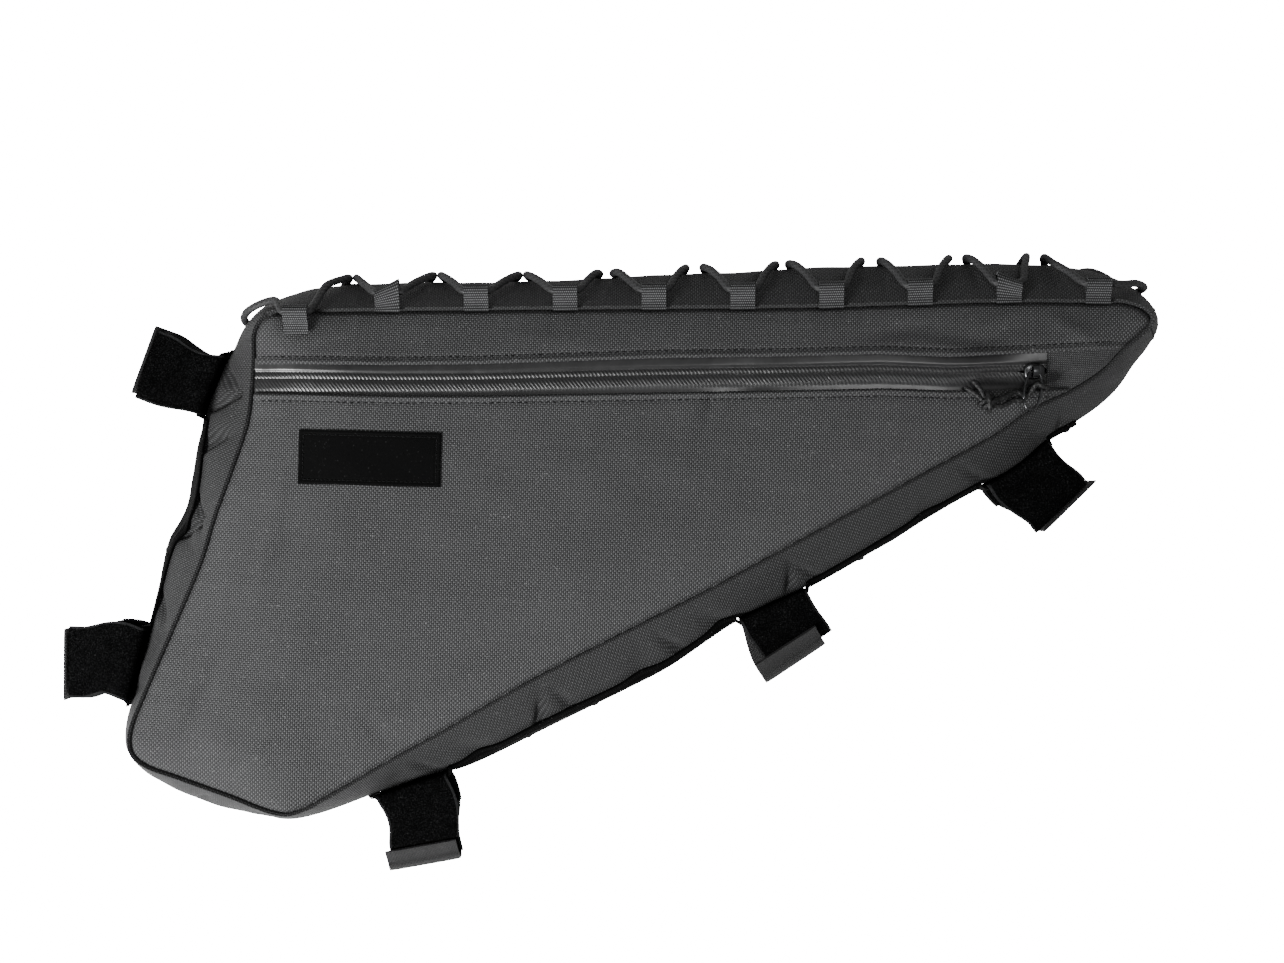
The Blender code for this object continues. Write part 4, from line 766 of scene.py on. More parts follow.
# %% [markdown]
# Webbing and cord take their relief from the groups above. Only their crests are light, because
# little light reaches down between the ribs and the strands.
# %% Finishes of webbing and cord
def webbing_finish(name, dark, light, rib, grain, roughness, gloss=0.15):
    finish, tree, shader, lay, place = open_material(name, roughness, gloss=gloss)
    ribs = use_group(tree, "webbing", Lay=lay, Rib=rib, Grain=grain)
    worn = use_group(tree, "tone", Place=place, Size=0.01, Lint=0.1)
    crests = calc(tree, "POWER", ribs["Relief"], 3.0)
    mask = calc(tree, "MULTIPLY_ADD", crests, 0.85, calc(tree, "MULTIPLY", worn["Tone"], 0.1))
    colour_and_bump(tree, shader, mask, ribs["Relief"], dark, light, 0.25 * MM, worn["Lint specks"])
    return finish


def cord_finish(name, dark, light, pitch, strands, roughness):
    finish, tree, shader, lay, place = open_material(name, roughness, gloss=0.3)
    braid = use_group(tree, "braid", Lay=lay, Pitch=pitch, Strands=strands)
    worn = use_group(tree, "tone", Place=place, Size=0.012, Lint=0.1)
    dust = calc(tree, "MULTIPLY", worn["Tone"], 0.3)
    mask = calc(tree, "MULTIPLY_ADD", braid["Relief"], 0.7, dust)
    colour_and_bump(tree, shader, mask, braid["Relief"], dark, light, 0.2 * MM, worn["Lint specks"])
    return finish


# %% [markdown]
# The zip tape is coated, so it is smooth and catches the light, with smudges that change its gloss.
# The slider and ring are blackened metal, rubbed in places. These two need gloss from a mask, which
# goes to Roughness.
# %% Smooth finishes
def smooth_finish(name, dark, light, gloss, metallic=0.0, coat=0.0, size=0.006):
    finish, tree, shader, _, place = open_material(name, 0.4, metallic=metallic, coat=coat)
    worn = use_group(tree, "tone", Place=place, Size=size, Lint=0.0)
    colour_and_bump(tree, shader, worn["Tone"], worn["Tone"], dark, light, 0.05 * MM)
    low, high = gloss
    rubbed = add_node(tree, "MapRange", {"Value": worn["Tone"], "To Min": low, "To Max": high})
    tree.links.new(rubbed.outputs[0], shader.inputs["Roughness"])
    return finish


# %% [markdown]
# Every finish of the bag is made here once. They come in pairs of tones, nearly neutral, and the
# lengths of thread, rib and braid are those of the real goods.
# %% All finishes
FACE_CLOTH = cloth_finish("face_cloth", 0.003, 0.102, 1.1 * MM, 0.05, 0.35 * MM, 0.60, 0.30, 0.30)
# The side cloth is the face's fabric with darker tones: painted shade for the sides of the bag, which
# lie in shade.
SHADED_SIDE_CLOTH = cloth_finish("side_cloth", 0.002, 0.054, 1.1 * MM, 0.0, 0.35 * MM, 0.62, 0.25, 0.20)
LABEL_CLOTH = cloth_finish("label_satin", 0.0005, 0.004, 0.35 * MM, 0.78, 0.06 * MM, 0.55, 0.02, 0.05)
FUZZY = fuzzy_finish("fuzzy_tape", 0.001, 0.10, 0.95)
HOOK = cloth_finish("hook_tape", 0.001, 0.030, 0.8 * MM, 0.0, 0.3 * MM, 0.45, 0.25, 0.06)
WEBBING = webbing_finish("ribbed_webbing", 0.002, 0.20, 1.35 * MM, 1.0 * MM, 0.70)
EDGE_WEBBING = webbing_finish("edge_webbing", 0.0, 0.004, 2.0 * MM, 1.2 * MM, 0.80, 0.05)
CORD = cord_finish("braided_cord", 0.008, 0.032, 3.2 * MM, 5.0, 0.60)
PULL = cord_finish("pull_cord", 0.001, 0.014, 2.4 * MM, 4.0, 0.50)
COATED = smooth_finish("coated_zip_tape", 0.007, 0.018, (0.27, 0.40))
COIL = smooth_finish("coil_teeth", 0.010, 0.020, (0.25, 0.45))
METAL = smooth_finish("blackened_metal", 0.030, 0.120, (0.18, 0.42), metallic=1.0)
THREAD = webbing_finish("sewing_thread", 0.003, 0.045, 0.4 * MM, 0.3 * MM, 0.55)
print("finishes:", len(bpy.data.materials) - 1)


# %% [markdown]
# ## Mesh tools
# Sewn goods are sheets and tubes. A sheet is a grid of points with a second grid behind it and rims
# round its sides, so every piece is one closed body. A Solidify modifier would do the same, but the
# grid keeps its lay coordinates this way.
# %% Pieces
shown = bpy.data.collections.new("dressed_bag")
bpy.context.scene.collection.children.link(shown)
SHARP = math.radians(50)


def add_piece(name, vertices, faces, lay, finish, slot, stands_for=()):
    """A mesh of this scene, riding on the bag."""
    mesh = bpy.data.meshes.new(name)
    mesh.from_pydata(np.asarray(vertices).tolist(), [], [list(map(int, face)) for face in faces])
    mesh.shade_smooth()
    mesh.set_sharp_from_angle(angle=SHARP)
    mesh.attributes.new("lay", "FLOAT_VECTOR", "POINT").data.foreach_set(
        "vector", np.asarray(lay, dtype=np.float32).ravel())
    mesh.materials.append(finish)
    piece = bpy.data.objects.new(name, mesh)
    shown.objects.link(piece)
    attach(piece, "root")
    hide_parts(*stands_for)
    return piece


# %% [markdown]
# Faces are written as corner numbers of a grid. Taking slices of the numbered grid gives all corners
# of all faces at once, and a row numbered twice closes a ring.
# %% Faces of a grid
def surface_normals(points, ring=False):
    if ring:
        along = np.roll(points, -1, axis=0) - np.roll(points, 1, axis=0)
    else:
        along = np.gradient(points, axis=0)
    normals = np.cross(along, np.gradient(points, axis=1))
    return normals / np.maximum(np.linalg.norm(normals, axis=2, keepdims=True), 1e-12)


def quads(index, turned=False):
    """The four corners of each face of a grid of point numbers."""
    corners = [index[:-1, :-1], index[1:, :-1], index[1:, 1:], index[:-1, 1:]]
    if turned:
        corners = [corners[k] for k in (0, 3, 2, 1)]
    return np.stack(corners, -1).reshape(-1, 4)


def sheet_faces(rows, columns, ring=False):
    """Faces of a doubled grid: front, back, and the rims between them."""
    index = np.arange(rows * columns).reshape(rows, columns)
    if ring:
        index = np.vstack([index, index[:1]])
    back = rows * columns
    front = quads(index)
    sides = [(index[:, 0], True), (index[:, -1], False)]
    if not ring:
        sides += [(index[0], False), (index[-1], True)]
    rims = [quads(np.stack([line, line + back], 1), turned) for line, turned in sides]
    return np.concatenate([front, front[:, ::-1] + back] + rims)


# %% [markdown]
# With those faces a sheet is quick to make: the given points, and the same points moved inwards by
# the thickness.
# %% Sheets
def lay_of(u, v):
    """Lay coordinates of a grid from its lengths along and across."""
    u, v = np.broadcast_arrays(u, v)
    return np.stack([u, v, np.zeros_like(u)], -1).reshape(-1, 3)


def add_sheet(name, points, thickness, lay, finish, slot, stands_for=(), ring=False, middle=False):
    """A closed cloth from a grid of points; middle means that they lie halfway through it."""
    normals = surface_normals(points, ring)
    if middle:
        points = points + normals * thickness / 2
    inner = points - normals * thickness
    vertices = np.concatenate([points.reshape(-1, 3), inner.reshape(-1, 3)])
    faces = sheet_faces(points.shape[0], points.shape[1], ring)
    return add_piece(name, vertices, faces, np.concatenate([lay, lay]), finish, slot, stands_for)


# %% [markdown]
# A tube carries a ring of points along a path without twisting it. A bevelled curve is quicker, but
# it holds no lay, and the braid has to know the length along the cord.
# %% Tubes
TUBE_END = (0.55, 0.90)


def tube_parts(path, radius, sides, closed=False):
    """Vertices, faces and lay of a round cord along a path."""
    path = np.asarray(path, dtype=float)
    count = len(path)
    if closed:
        tangents = np.roll(path, -1, axis=0) - np.roll(path, 1, axis=0)
    else:
        tangents = np.gradient(path, axis=0)
    tangents = unit(tangents)
    across = np.cross(tangents[0], (0.1, 0.2, 1.0))
    angles = np.arange(sides) * math.tau / sides
    length = 0.0
    vertices, lay = [], []
    tip, next_to_it = TUBE_END
    ends = {} if closed else {0: tip, 1: next_to_it, count - 2: next_to_it, count - 1: tip}
    for k in range(count):
        across = unit(across - tangents[k] * np.dot(across, tangents[k]))
        other = np.cross(tangents[k], across)
        if k:
            length += float(np.linalg.norm(path[k] - path[k - 1]))
        size = radius * ends.get(k, 1.0)
        round_it = np.outer(np.cos(angles), across) + np.outer(np.sin(angles), other)
        vertices.append(path[k] + size * round_it)
        lay.append(np.stack([np.full(sides, length), np.cos(angles), np.sin(angles)], -1))
    index = np.arange(count * sides).reshape(count, sides)
    if closed:
        index = np.vstack([index, index[:1]])
    faces = quads(np.hstack([index, index[:, :1]]), True).tolist()
    if not closed:
        faces.append(list(range(sides))[::-1])
        faces.append(list(range((count - 1) * sides, count * sides)))
    return np.concatenate(vertices), faces, np.concatenate(lay)


def joined(parts):
    """Several vertex, face and lay lists as one."""
    vertices, faces, lay = [], [], []
    start = 0
    for part_vertices, part_faces, part_lay in parts:
        vertices.append(part_vertices)
        lay.append(part_lay)
        faces.extend([[corner + start for corner in face] for face in part_faces])
        start += len(part_vertices)
    return np.concatenate(vertices), faces, np.concatenate(lay)


# %% [markdown]
# Each stitch is a short raised arc of thread that dives into the cloth at both ends. One arc is made
# once and copied along a line; real threads instead of a painted dash catch the light.
# %% Stitches
SLOPE_STEP = 0.5 * MM


def stitches(places, headings, ups, length, thread):
    """Vertices, faces and lay of one arc of thread at each place."""
    share = np.linspace(-1, 1, 5)
    path = np.stack([share * length / 2, 0 * share, thread * (0.55 - 0.95 * share ** 2)], -1)
    arc, faces, lay = tube_parts(path, thread / 2, 5)
    headings = unit(headings)
    sides = unit(np.cross(ups, headings))
    ups = np.cross(headings, sides)
    parts = []
    for place, heading, side, up in zip(places, headings, sides, ups):
        turned = arc @ np.stack([heading, side, up])
        parts.append((place + turned, faces, lay))
    return joined(parts)


def on_face(x, y, skin):
    """Places and upward directions on a height function."""
    here = skin(x, y)
    slope_x = (skin(x + SLOPE_STEP, y) - here) / SLOPE_STEP
    slope_y = (skin(x, y + SLOPE_STEP) - here) / SLOPE_STEP
    return np.stack([x, y, here], -1), np.stack([-slope_x, -slope_y, np.ones_like(x)], -1)


def stitched_line(x, y, skin, pitch, length, thread):
    """Stitches at an even pitch along a line drawn on a height function."""
    run = lengths_along(np.stack([x, y], -1))
    at = np.arange(pitch / 2, run[-1], pitch)
    px, py = np.interp(at, run, x), np.interp(at, run, y)
    qx, qy = np.interp(at + pitch / 4, run, x), np.interp(at + pitch / 4, run, y)
    places, ups = on_face(px, py, skin)
    ahead, _ = on_face(qx, qy, skin)
    return stitches(places, ahead - places, ups, length, thread)


# %% [markdown]
# ## The face
# The large panel below the zip has four sides: two seams, the short lower edge and the zip. A Coons
# patch fills them with rows that follow all four, crowded towards the edges where the cloth rolls
# over into the seam.
# %% Grid lines and patches
def crowded(count, first, last):
    """Shares from 0 to 1, with extra ones close to either end."""
    even = np.linspace(first[-1], 1 - last[-1], count)[1:-1]
    return np.concatenate([first, even, 1 - np.array(last[::-1])])


def seam_side(start, end):
    def place(share):
        x, y, _, _ = seam.at(start + (end - start) * share)
        return np.stack([x, y], -1)
    return place


def welt_side(first, last, level):
    def place(share):
        x = first + (last - first) * share
        return np.stack([x, level(x)], -1)
    return place


def patch(left, right, bottom, top, us, vs):
    """Plan points of a four-sided patch: one row of the result for each u."""
    u, v = us[:, None, None], vs[None, :, None]
    across = left(vs)[None] * (1 - u) + right(vs)[None] * u
    along = bottom(us)[:, None] * (1 - v) + top(us)[:, None] * v
    low = left(np.zeros(1))[None] * (1 - u) + right(np.zeros(1))[None] * u
    high = left(np.ones(1))[None] * (1 - u) + right(np.ones(1))[None] * u
    return across + along - (low * (1 - v) + high * v)


def face_sheet(name, plan, stands_for):
    x, y = plan[..., 0], plan[..., 1]
    points = np.stack([x, y, face_skin(x, y)], -1)
    return add_sheet(name, points, SKIN, lay_of(x, y), FACE_CLOTH, "face_cloth", stands_for)


# %% Front panel and the strip above the zip
left_low = seam.crossing("seat", lower_welt)
right_low = seam.crossing("down", lower_welt)
NEAR_SEAM = [0, .0012, .0026, .0042, .006, .0085, .012, .017]
NEAR_ZIP = [0, .0012, .0024, .004, .006, .008, .010, .0125, .015, .018, .022, .028]
PANEL_GRID = (190, 130)
STRIP_GRID = (230, 18)
panel_plan = patch(
    seam_side(seam.marks["left_end"], left_low), seam_side(seam.marks["lower_corner"], right_low),
    seam_side(seam.marks["left_end"], seam.marks["lower_corner"]),
    welt_side(seam.x_at(left_low), seam.x_at(right_low), lower_welt),
    crowded(PANEL_GRID[0], NEAR_SEAM, NEAR_SEAM), crowded(PANEL_GRID[1], NEAR_SEAM, NEAR_ZIP))
front = face_sheet("front_cloth_panel", panel_plan, ["front_panel"])

left_high = seam.crossing("seat", upper_welt)
right_high = seam.crossing("down", upper_welt)
NEAR_WELT = [0, .010, .022, .036, .052, .070, .090, .115, .145, .18]
NEAR_TOP = [0, .012, .026, .042, .062, .09]
strip_plan = patch(
    seam_side(left_high, seam.total), seam_side(right_high, seam.marks["nose"]),
    welt_side(seam.x_at(left_high), seam.x_at(right_high), upper_welt),
    seam_side(seam.marks["top_left"], seam.marks["nose"]),
    crowded(STRIP_GRID[0], NEAR_SEAM[:6], NEAR_SEAM[:6]),
    crowded(STRIP_GRID[1], NEAR_WELT, NEAR_TOP))
strip = face_sheet("upper_cloth_strip", strip_plan, ["front_fascia"])
print("face:", len(front.data.polygons) + len(strip.data.polygons), "faces")


# %% [markdown]
# Two lines of stitches hold the folded edges beside the zip. They run on the cloth's own surface a
# few millimetres from each fold.
# %% Stitches beside the zip
STITCH_PITCH = 3.6 * MM
STITCH_LENGTH = 3.0 * MM
FINE_THREAD = 0.5 * MM


def welt_stitches(level, sign, stop, short_of):
    """One row, from the left end of the zip to a little short of where the welt meets the seam."""
    xs = np.linspace(seam.x_at(left_low) + 4 * MM, seam.x_at(stop) - short_of, 400)
    ys = level(xs) + sign * WELT_STITCH_AT
    return stitched_line(xs, ys, face_skin, STITCH_PITCH, STITCH_LENGTH, FINE_THREAD)


rows = [welt_stitches(lower_welt, -1, right_low, 12 * MM),
        welt_stitches(upper_welt, 1, right_high, 6 * MM)]
add_piece("zip_edge_stitches", *joined(rows), THREAD, "face_cloth")
print("stitch lines beside the zip: 2")

# %% [markdown]
# ## The side cloth
# One band of cloth goes all the way round, with a single join at the nose. It starts inside the
# front seam, rolls out over it, bellies, and tucks in again at the back seam.
# %% Side cloth
# Rows inside the seam: share of its opening, and drop below it
HIDDEN = [(0.10, -2.3 * MM), (0.25, -1.2 * MM), (0.6, -0.35 * MM)]
ROUND_STEP = 1.3 * MM
SIDE_ROWS = 27
TUCK_IN = 1.2 * MM
TUCK_DOWN = 0.4 * MM


def side_band():
    stations = np.linspace(0.0, seam.total, round(seam.total / ROUND_STEP), endpoint=False)
    ws = 1 - np.linspace(0.0, 1.0, SIDE_ROWS)
    s, w = stations[:, None], ws[None, :]
    skin = side_skin(s, w)
    x, y, seam_height, _ = seam.at(stations)
    out = seam.normal(stations)
    rolled = []
    for share, drop in HIDDEN:
        row = np.stack([x, y, seam_height + drop], -1) + out * (SEAM_OPENING * share)
        rolled.append(row[:, None])
    tucked = side_skin(stations, 0.0) - out * TUCK_IN - np.array([0, 0, TUCK_DOWN])
    points = np.concatenate(rolled + [skin, tucked[:, None]], axis=1)
    steps = np.linalg.norm(np.diff(points, axis=1), axis=2).mean(0)
    lay = lay_of(s, np.concatenate([[0.0], np.cumsum(steps)])[None, :])
    return add_sheet("side_cloth_band", points, SKIN, lay, SHADED_SIDE_CLOTH, "side_cloth",
                     ["gusset_top", "gusset_down", "gusset_bottom", "gusset_seat"], ring=True)


band = side_band()
print("side cloth:", len(band.data.polygons), "faces")

# %% [markdown]
# The side cloth is one long band, and its two ends meet at the nose. Two rows of stitches run down
# that join, one on each side of it.
# %% Join at the nose
JOIN_ROWS = (-3.0 * MM, 3.0 * MM)
JOIN_STITCH = 2.8 * MM
JOIN_SHARES = np.linspace(0.96, 0.12, 18)


def join_row(apart):
    s = seam.marks["nose"] + apart
    headings = side_skin(s, JOIN_SHARES - 0.01) - side_skin(s, JOIN_SHARES + 0.01)
    ups = np.cross(headings, seam.tangent(s))
    ups *= np.sign(ups @ seam.normal(s))[:, None]
    return stitches(side_skin(s, JOIN_SHARES), headings, ups, JOIN_STITCH, FINE_THREAD)


rows = [join_row(apart) for apart in JOIN_ROWS]
add_piece("nose_join_stitches", *joined(rows), THREAD, "side_cloth")
print("nose join:", len(JOIN_ROWS), "rows")


# %% [markdown]
# The back is flat, because the bag lies on it. Rings drawn in from its edge to a middle point fill
# it with even faces, and it keeps a slight unevenness.
# %% Back panel
BACK_STATIONS = 420
BACK_MIDDLE = np.array([-0.06, 0.01])
BACK_SHARES = np.concatenate([[0, .006, .014, .03], np.linspace(.06, .97, 34)])
BACK_TOP = 1.3 * MM
BACK_CLOTH = 1.1 * MM
BACK_UNEVEN = 0.25 * MM


def back_cloth():
    stations = np.linspace(0.0, seam.total, BACK_STATIONS, endpoint=False)
    x, y, _, _ = seam.at(stations)
    edge = np.stack([x, y], -1) + seam.normal(stations)[:, :2] * (SEAM_OPENING * 0.9)
    shares = BACK_SHARES[None, :, None]
    plan = edge[:, None] * (1 - shares) + BACK_MIDDLE * shares
    wave = np.sin(plan[..., 0] / 0.017) * np.sin(plan[..., 1] / 0.013)
    height = BACK_TOP + BACK_UNEVEN * (1 + wave) / 2
    points = np.stack([plan[..., 0], plan[..., 1], height], -1)[:, ::-1]
    lay = lay_of(points[..., 0], points[..., 1])
    return add_sheet("back_cloth_panel", points, BACK_CLOTH, lay, SHADED_SIDE_CLOTH, "side_cloth",
                     ["back_panel"], ring=True)


back = back_cloth()
print("back:", len(back.data.polygons), "faces")

# %% [markdown]
# ## The zip
# The tapes are coated and lie coil side down, so the teeth show as slanted ribs under the film. The
# ribs are modelled, because the bright sparkle along them in the picture comes from their shape.
# %% Zip tapes
RIB_PITCH = 2.0 * MM
RIB_HEIGHT = 0.60 * MM
RIB_LEAN = 0.8
TEETH_AT = 1.8 * MM
TEETH_WIDTH = 1.3 * MM
LOWER_TEETH = 1.9
FOLD_AT = 4.2 * MM
FOLD_RISE = 0.40 * MM
FOLD_WIDTH = 0.50 * MM
TAPE_COLUMNS = 1900
TAPE_ROWS = 23
BED_EVERY = 20
TAB_LEFT = SLIDER_X + SLIDER_LENGTH * 0.62
PARTS_FROM = 0.75 * SLIDER_LENGTH
PARTS_OVER = 0.45 * SLIDER_LENGTH
PARTS_TO = 0.11 * SLIDER_LENGTH


def zip_bed(x, y):
    """The surface under the face cloth on which the zip lies."""
    return face_height(x, y, False) - UNDER_CLOTH


def parting(x):
    """Half of the gap between the tapes, which opens inside the slider."""
    return GAP / 2 + PARTS_TO * np.clip((x - SLIDER_X + PARTS_FROM) / PARTS_OVER, 0, 1)


def zip_tape(name, sign, node):
    first = seam.x_at(seam.crossing("seat", lambda x: zip_line(x)[0])) - GAP
    xs = np.linspace(first, TAB_LEFT - GAP, TAPE_COLUMNS)
    shares = np.linspace(0, 1, TAPE_ROWS)
    middle, half = zip_line(xs)
    inner = parting(xs)
    away = inner[:, None] + (half + ZIP_UNDERLAP - inner)[:, None] * shares
    y = middle[:, None] + sign * away
    x = np.repeat(xs[:, None], len(shares), axis=1)
    coarse = zip_bed(x[::BED_EVERY], y[::BED_EVERY])
    bed = np.stack([np.interp(xs, xs[::BED_EVERY], column) for column in coarse.T], -1)
    spread = 1.0 if sign > 0 else LOWER_TEETH
    teeth = np.exp(-((away / spread - TEETH_AT) / TEETH_WIDTH) ** 4)
    leaning = x * sign + RIB_LEAN * away
    ribs = np.abs(np.sin(math.pi * leaning / RIB_PITCH)) ** 0.7
    fold = (FOLD_RISE if sign > 0 else 0.0) * np.tanh((away - FOLD_AT) / FOLD_WIDTH)
    z = bed + RIB_HEIGHT * teeth * ribs + fold
    points = np.stack([x, y, z], -1)
    if sign < 0:
        points = points[:, ::-1]
    lay = lay_of(points[..., 0], points[..., 1])
    return add_sheet(name, points, ZIP_TAPE, lay, COATED, "coated_tape", [node])


zip_tape("upper_zip_tape", 1, "zip_tape_upper")
zip_tape("lower_zip_tape", -1, "zip_tape_lower")
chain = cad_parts["zip_chain"].data
chain.materials.clear()
chain.materials.append(COIL)
print("zip ribs:", round(BAG_LENGTH * 0.85 / RIB_PITCH))


# %% [markdown]
# Right of the slider a folded triangle of cloth covers the end of the zip. It lies lower than the
# face, and its fold runs from the slider to the seam.
# %% Zip end
END_FOLD = 0.8 * MM
END_FOLD_WIDTH = 2.2 * MM
END_FOLD_SLOPE = 0.105
END_FOLD_STARTS = 10.0 * MM


def zip_end():
    middle, half = (float(value) for value in zip_line(TAB_LEFT))
    us, vs = np.linspace(0, 1, 50), np.linspace(-1, 1, 26)
    side_x, side_y, _, _ = seam.at(np.linspace(*seam.span("down"), 2000))
    y = middle + vs * (half + ZIP_UNDERLAP)
    right = np.interp(-y, -side_y, side_x) - GAP
    x = TAB_LEFT + (right[None] - TAB_LEFT) * us[:, None]
    y = np.repeat(y[None], len(us), axis=0)
    from_fold = y - middle - END_FOLD_SLOPE * (x - TAB_LEFT)
    fold = END_FOLD * np.exp(-(from_fold / END_FOLD_WIDTH) ** 2)
    z = zip_bed(x, y) + fold * np.clip((x - TAB_LEFT) / END_FOLD_STARTS, 0, 1)
    return add_sheet("zip_end_cloth", np.stack([x, y, z], -1), CLOTH * 0.8, lay_of(x + y, y - x),
                     FACE_CLOTH, "face_cloth", ["zip_end_tab"])


zip_end()
print("zip end: folded cloth")


# %% [markdown]
# The slider is cast: a plate with rounded shoulders, flanges that wrap the teeth, and a bridge over
# which the ring is hung. It is built from four small meshes in its own tilted frame.
# %% Slider's frame
def slider_frame():
    """Origin and axes of the slider: along the zip, across it and up."""
    middle, half = (float(value) for value in zip_line(SLIDER_X))

    def bed(dx, dy):
        x, y = SLIDER_X + dx, middle + dy
        return np.array([x, y, float(zip_bed(np.array([x]), np.array([y]))[0])])

    along = unit(bed(half, 0) - bed(-half, 0))
    up = unit(np.cross(along, bed(0, half) - bed(0, -half)))
    return bed(0, 0) + up * (2 * GAP + SLIDER_PLATE), along, np.cross(up, along), up


def in_frame(points, placed):
    return placed[0] + np.asarray(points) @ np.stack(placed[1:])


# %% [markdown]
# The plate is a stack of rings that are nearly rectangles: a sine pushed out towards a square gives
# the rounded shoulders. The bridge is a ribbon over half a turn, and both are shaped flat and then
# set into the slider's frame.
# %% Slider's plate and bridge
PLATE_POINTS = 40
PLATE_LEVELS = (0.0, 0.4, 0.8, 1.0)
PLATE_ENDS = 0.65
PLATE_SIDES = 0.55
WAIST = 0.16
PLATE_CROWN = 0.1 * MM
FLANGE = 0.86
BRIDGE_HALF = SLIDER_WIDTH * 0.42 - RING_WIRE / 2
BRIDGE_RISE = CROWN_RISE - RING_WIRE * 0.45
BRIDGE_WIDTH = SLIDER_LENGTH * 0.26
BRIDGE_ROLL = 0.15 * MM
BRIDGE_SUNK = 0.2 * MM
POST_AT = 0.6 * MM


def squarish(value, power):
    """A sine or cosine pushed out towards a square."""
    return np.sign(value) * np.abs(value) ** power


def slider_plate(placed, bottom, top, size, round_off):
    """A rounded shield in plan with a domed top."""
    angles = np.linspace(0, math.tau, PLATE_POINTS, endpoint=False)
    x = squarish(np.cos(angles), PLATE_ENDS) * SLIDER_LENGTH * size / 2
    waist = 1 - WAIST * np.clip(x / (SLIDER_LENGTH / 2), 0, 1)
    y = squarish(np.sin(angles), PLATE_SIDES) * SLIDER_WIDTH * size / 2 * waist
    levels = [(1 - round_off * (1 - math.sqrt(1 - share ** 2)), bottom + (top - bottom) * share)
              for share in PLATE_LEVELS]
    levels.append((0.5, top + PLATE_CROWN))
    rings = [np.stack([x * grow, y * grow, np.full(PLATE_POINTS, z)], -1) for grow, z in levels]
    points = in_frame(rings, placed).reshape(-1, 3)
    index = np.arange(len(points)).reshape(-1, PLATE_POINTS)
    faces = quads(np.hstack([index, index[:, :1]]), True).tolist()
    return points, faces + [index[0].tolist()[::-1], index[-1].tolist()], np.zeros_like(points)


def slider_bridge(placed):
    """The arch that holds the ring, from shoulder to shoulder."""
    angles = np.linspace(0, math.pi, 24)
    across = np.linspace(-1, 1, 9)
    rise = squarish(np.sin(angles), PLATE_SIDES) * BRIDGE_RISE - BRIDGE_SUNK
    path = np.stack([0 * angles, -np.cos(angles) * BRIDGE_HALF, rise], -1)
    width = np.stack([across * BRIDGE_WIDTH / 2, 0 * across, -BRIDGE_ROLL * across ** 4], -1)
    points = in_frame(path[:, None] + width[None], placed)
    inner = points - surface_normals(points) * RING_WIRE * 0.55
    vertices = np.concatenate([points.reshape(-1, 3), inner.reshape(-1, 3)])
    return vertices, sheet_faces(*points.shape[:2]).tolist(), np.zeros_like(vertices)


placed = slider_frame()
below = ZIP_TAPE + 4 * GAP
slider_parts = [
    slider_plate(placed, -SLIDER_PLATE, 0.0, 1.0, 0.22),
    slider_plate(placed, -SLIDER_PLATE * 1.8 - below, -SLIDER_PLATE - below, FLANGE, 0.10),
    slider_bridge(placed),
]
post_levels = (-SLIDER_PLATE * 0.6, -SLIDER_PLATE - below * 0.5, -SLIDER_PLATE - below * 1.1)
post = in_frame([(POST_AT, 0, level) for level in post_levels], placed)
slider_parts.append(tube_parts(post, SLIDER_LENGTH * 0.07, 12))
add_piece("cast_zip_slider", *joined(slider_parts), METAL, "dark_metal", ["zip_slider"])
print("slider:", len(slider_parts), "parts")


# %% [markdown]
# The pull ring is one bent wire whose ends meet without being soldered. Its plan is a long rounded
# loop, and a narrow gap is left where the ends meet.
# %% Pull ring
RING_DOWN = (-0.20, -0.94, 0.28)
RING_ACROSS = (-0.97, 0.20, 0.0)
RING_SQUARENESS = 0.75
RING_GAP_AT = math.radians(125)
RING_GAP = 0.1
RING_STEPS = 90
origin, _, _, up = placed
ring_eye = origin + up * (GAP * 2 + RING_WIRE / 2)
ring_down = unit(in_frame(RING_DOWN, placed) - origin)
ring_across = unit(in_frame(RING_ACROSS, placed) - origin)


def ring_point(angle):
    down = (RING_LENGTH - RING_WIRE) / 2 * (1 - math.cos(angle))
    across = (RING_WIDTH - RING_WIRE) / 2 * squarish(math.sin(angle), RING_SQUARENESS)
    return ring_eye + ring_down * down + ring_across * across


turns = RING_GAP_AT + RING_GAP / 2 + np.linspace(0, math.tau - RING_GAP, RING_STEPS + 1)
ring = tube_parts([ring_point(angle) for angle in turns], RING_WIRE / 2, 14)
add_piece("bent_wire_ring", *ring, METAL, "dark_metal", ["zip_pull_ring"])
print("ring: %.0f mm long" % (RING_LENGTH * 1000))


# %% [markdown]
# The pull is a doubled cord looped through the ring, tied in an overhand knot, with two tails. The
# strands follow the solid model's route. The knot is drawn as its visible turns: the strands going
# through, two turns round them, and one crossing over the top.
# %% Pull cord
PULL_RADIUS = PULL_CORD / 2
PULL_STEP = 0.8 * MM
KNOT_FROM_SLIDER = 24.5 * MM
KNOT_BELOW_ZIP = 15.5 * MM
KNOT_MIDDLE = 3.6 * MM
KNOT_AXIS = np.array([-0.82, 0.57, 0.0])
# Turns of the knot in mm: tilt, shift along the axis, half width and half height
KNOT_TURNS = [(1.6, 1.9, 3.4, 2.6), (1.6, -0.9, 3.7, 2.9), (-3.2, 0.4, 3.5, 3.4)]
# Where the strands cross the ring, as angles round it
NEAR_AT, FAR_AT = math.radians(118), math.radians(-72)


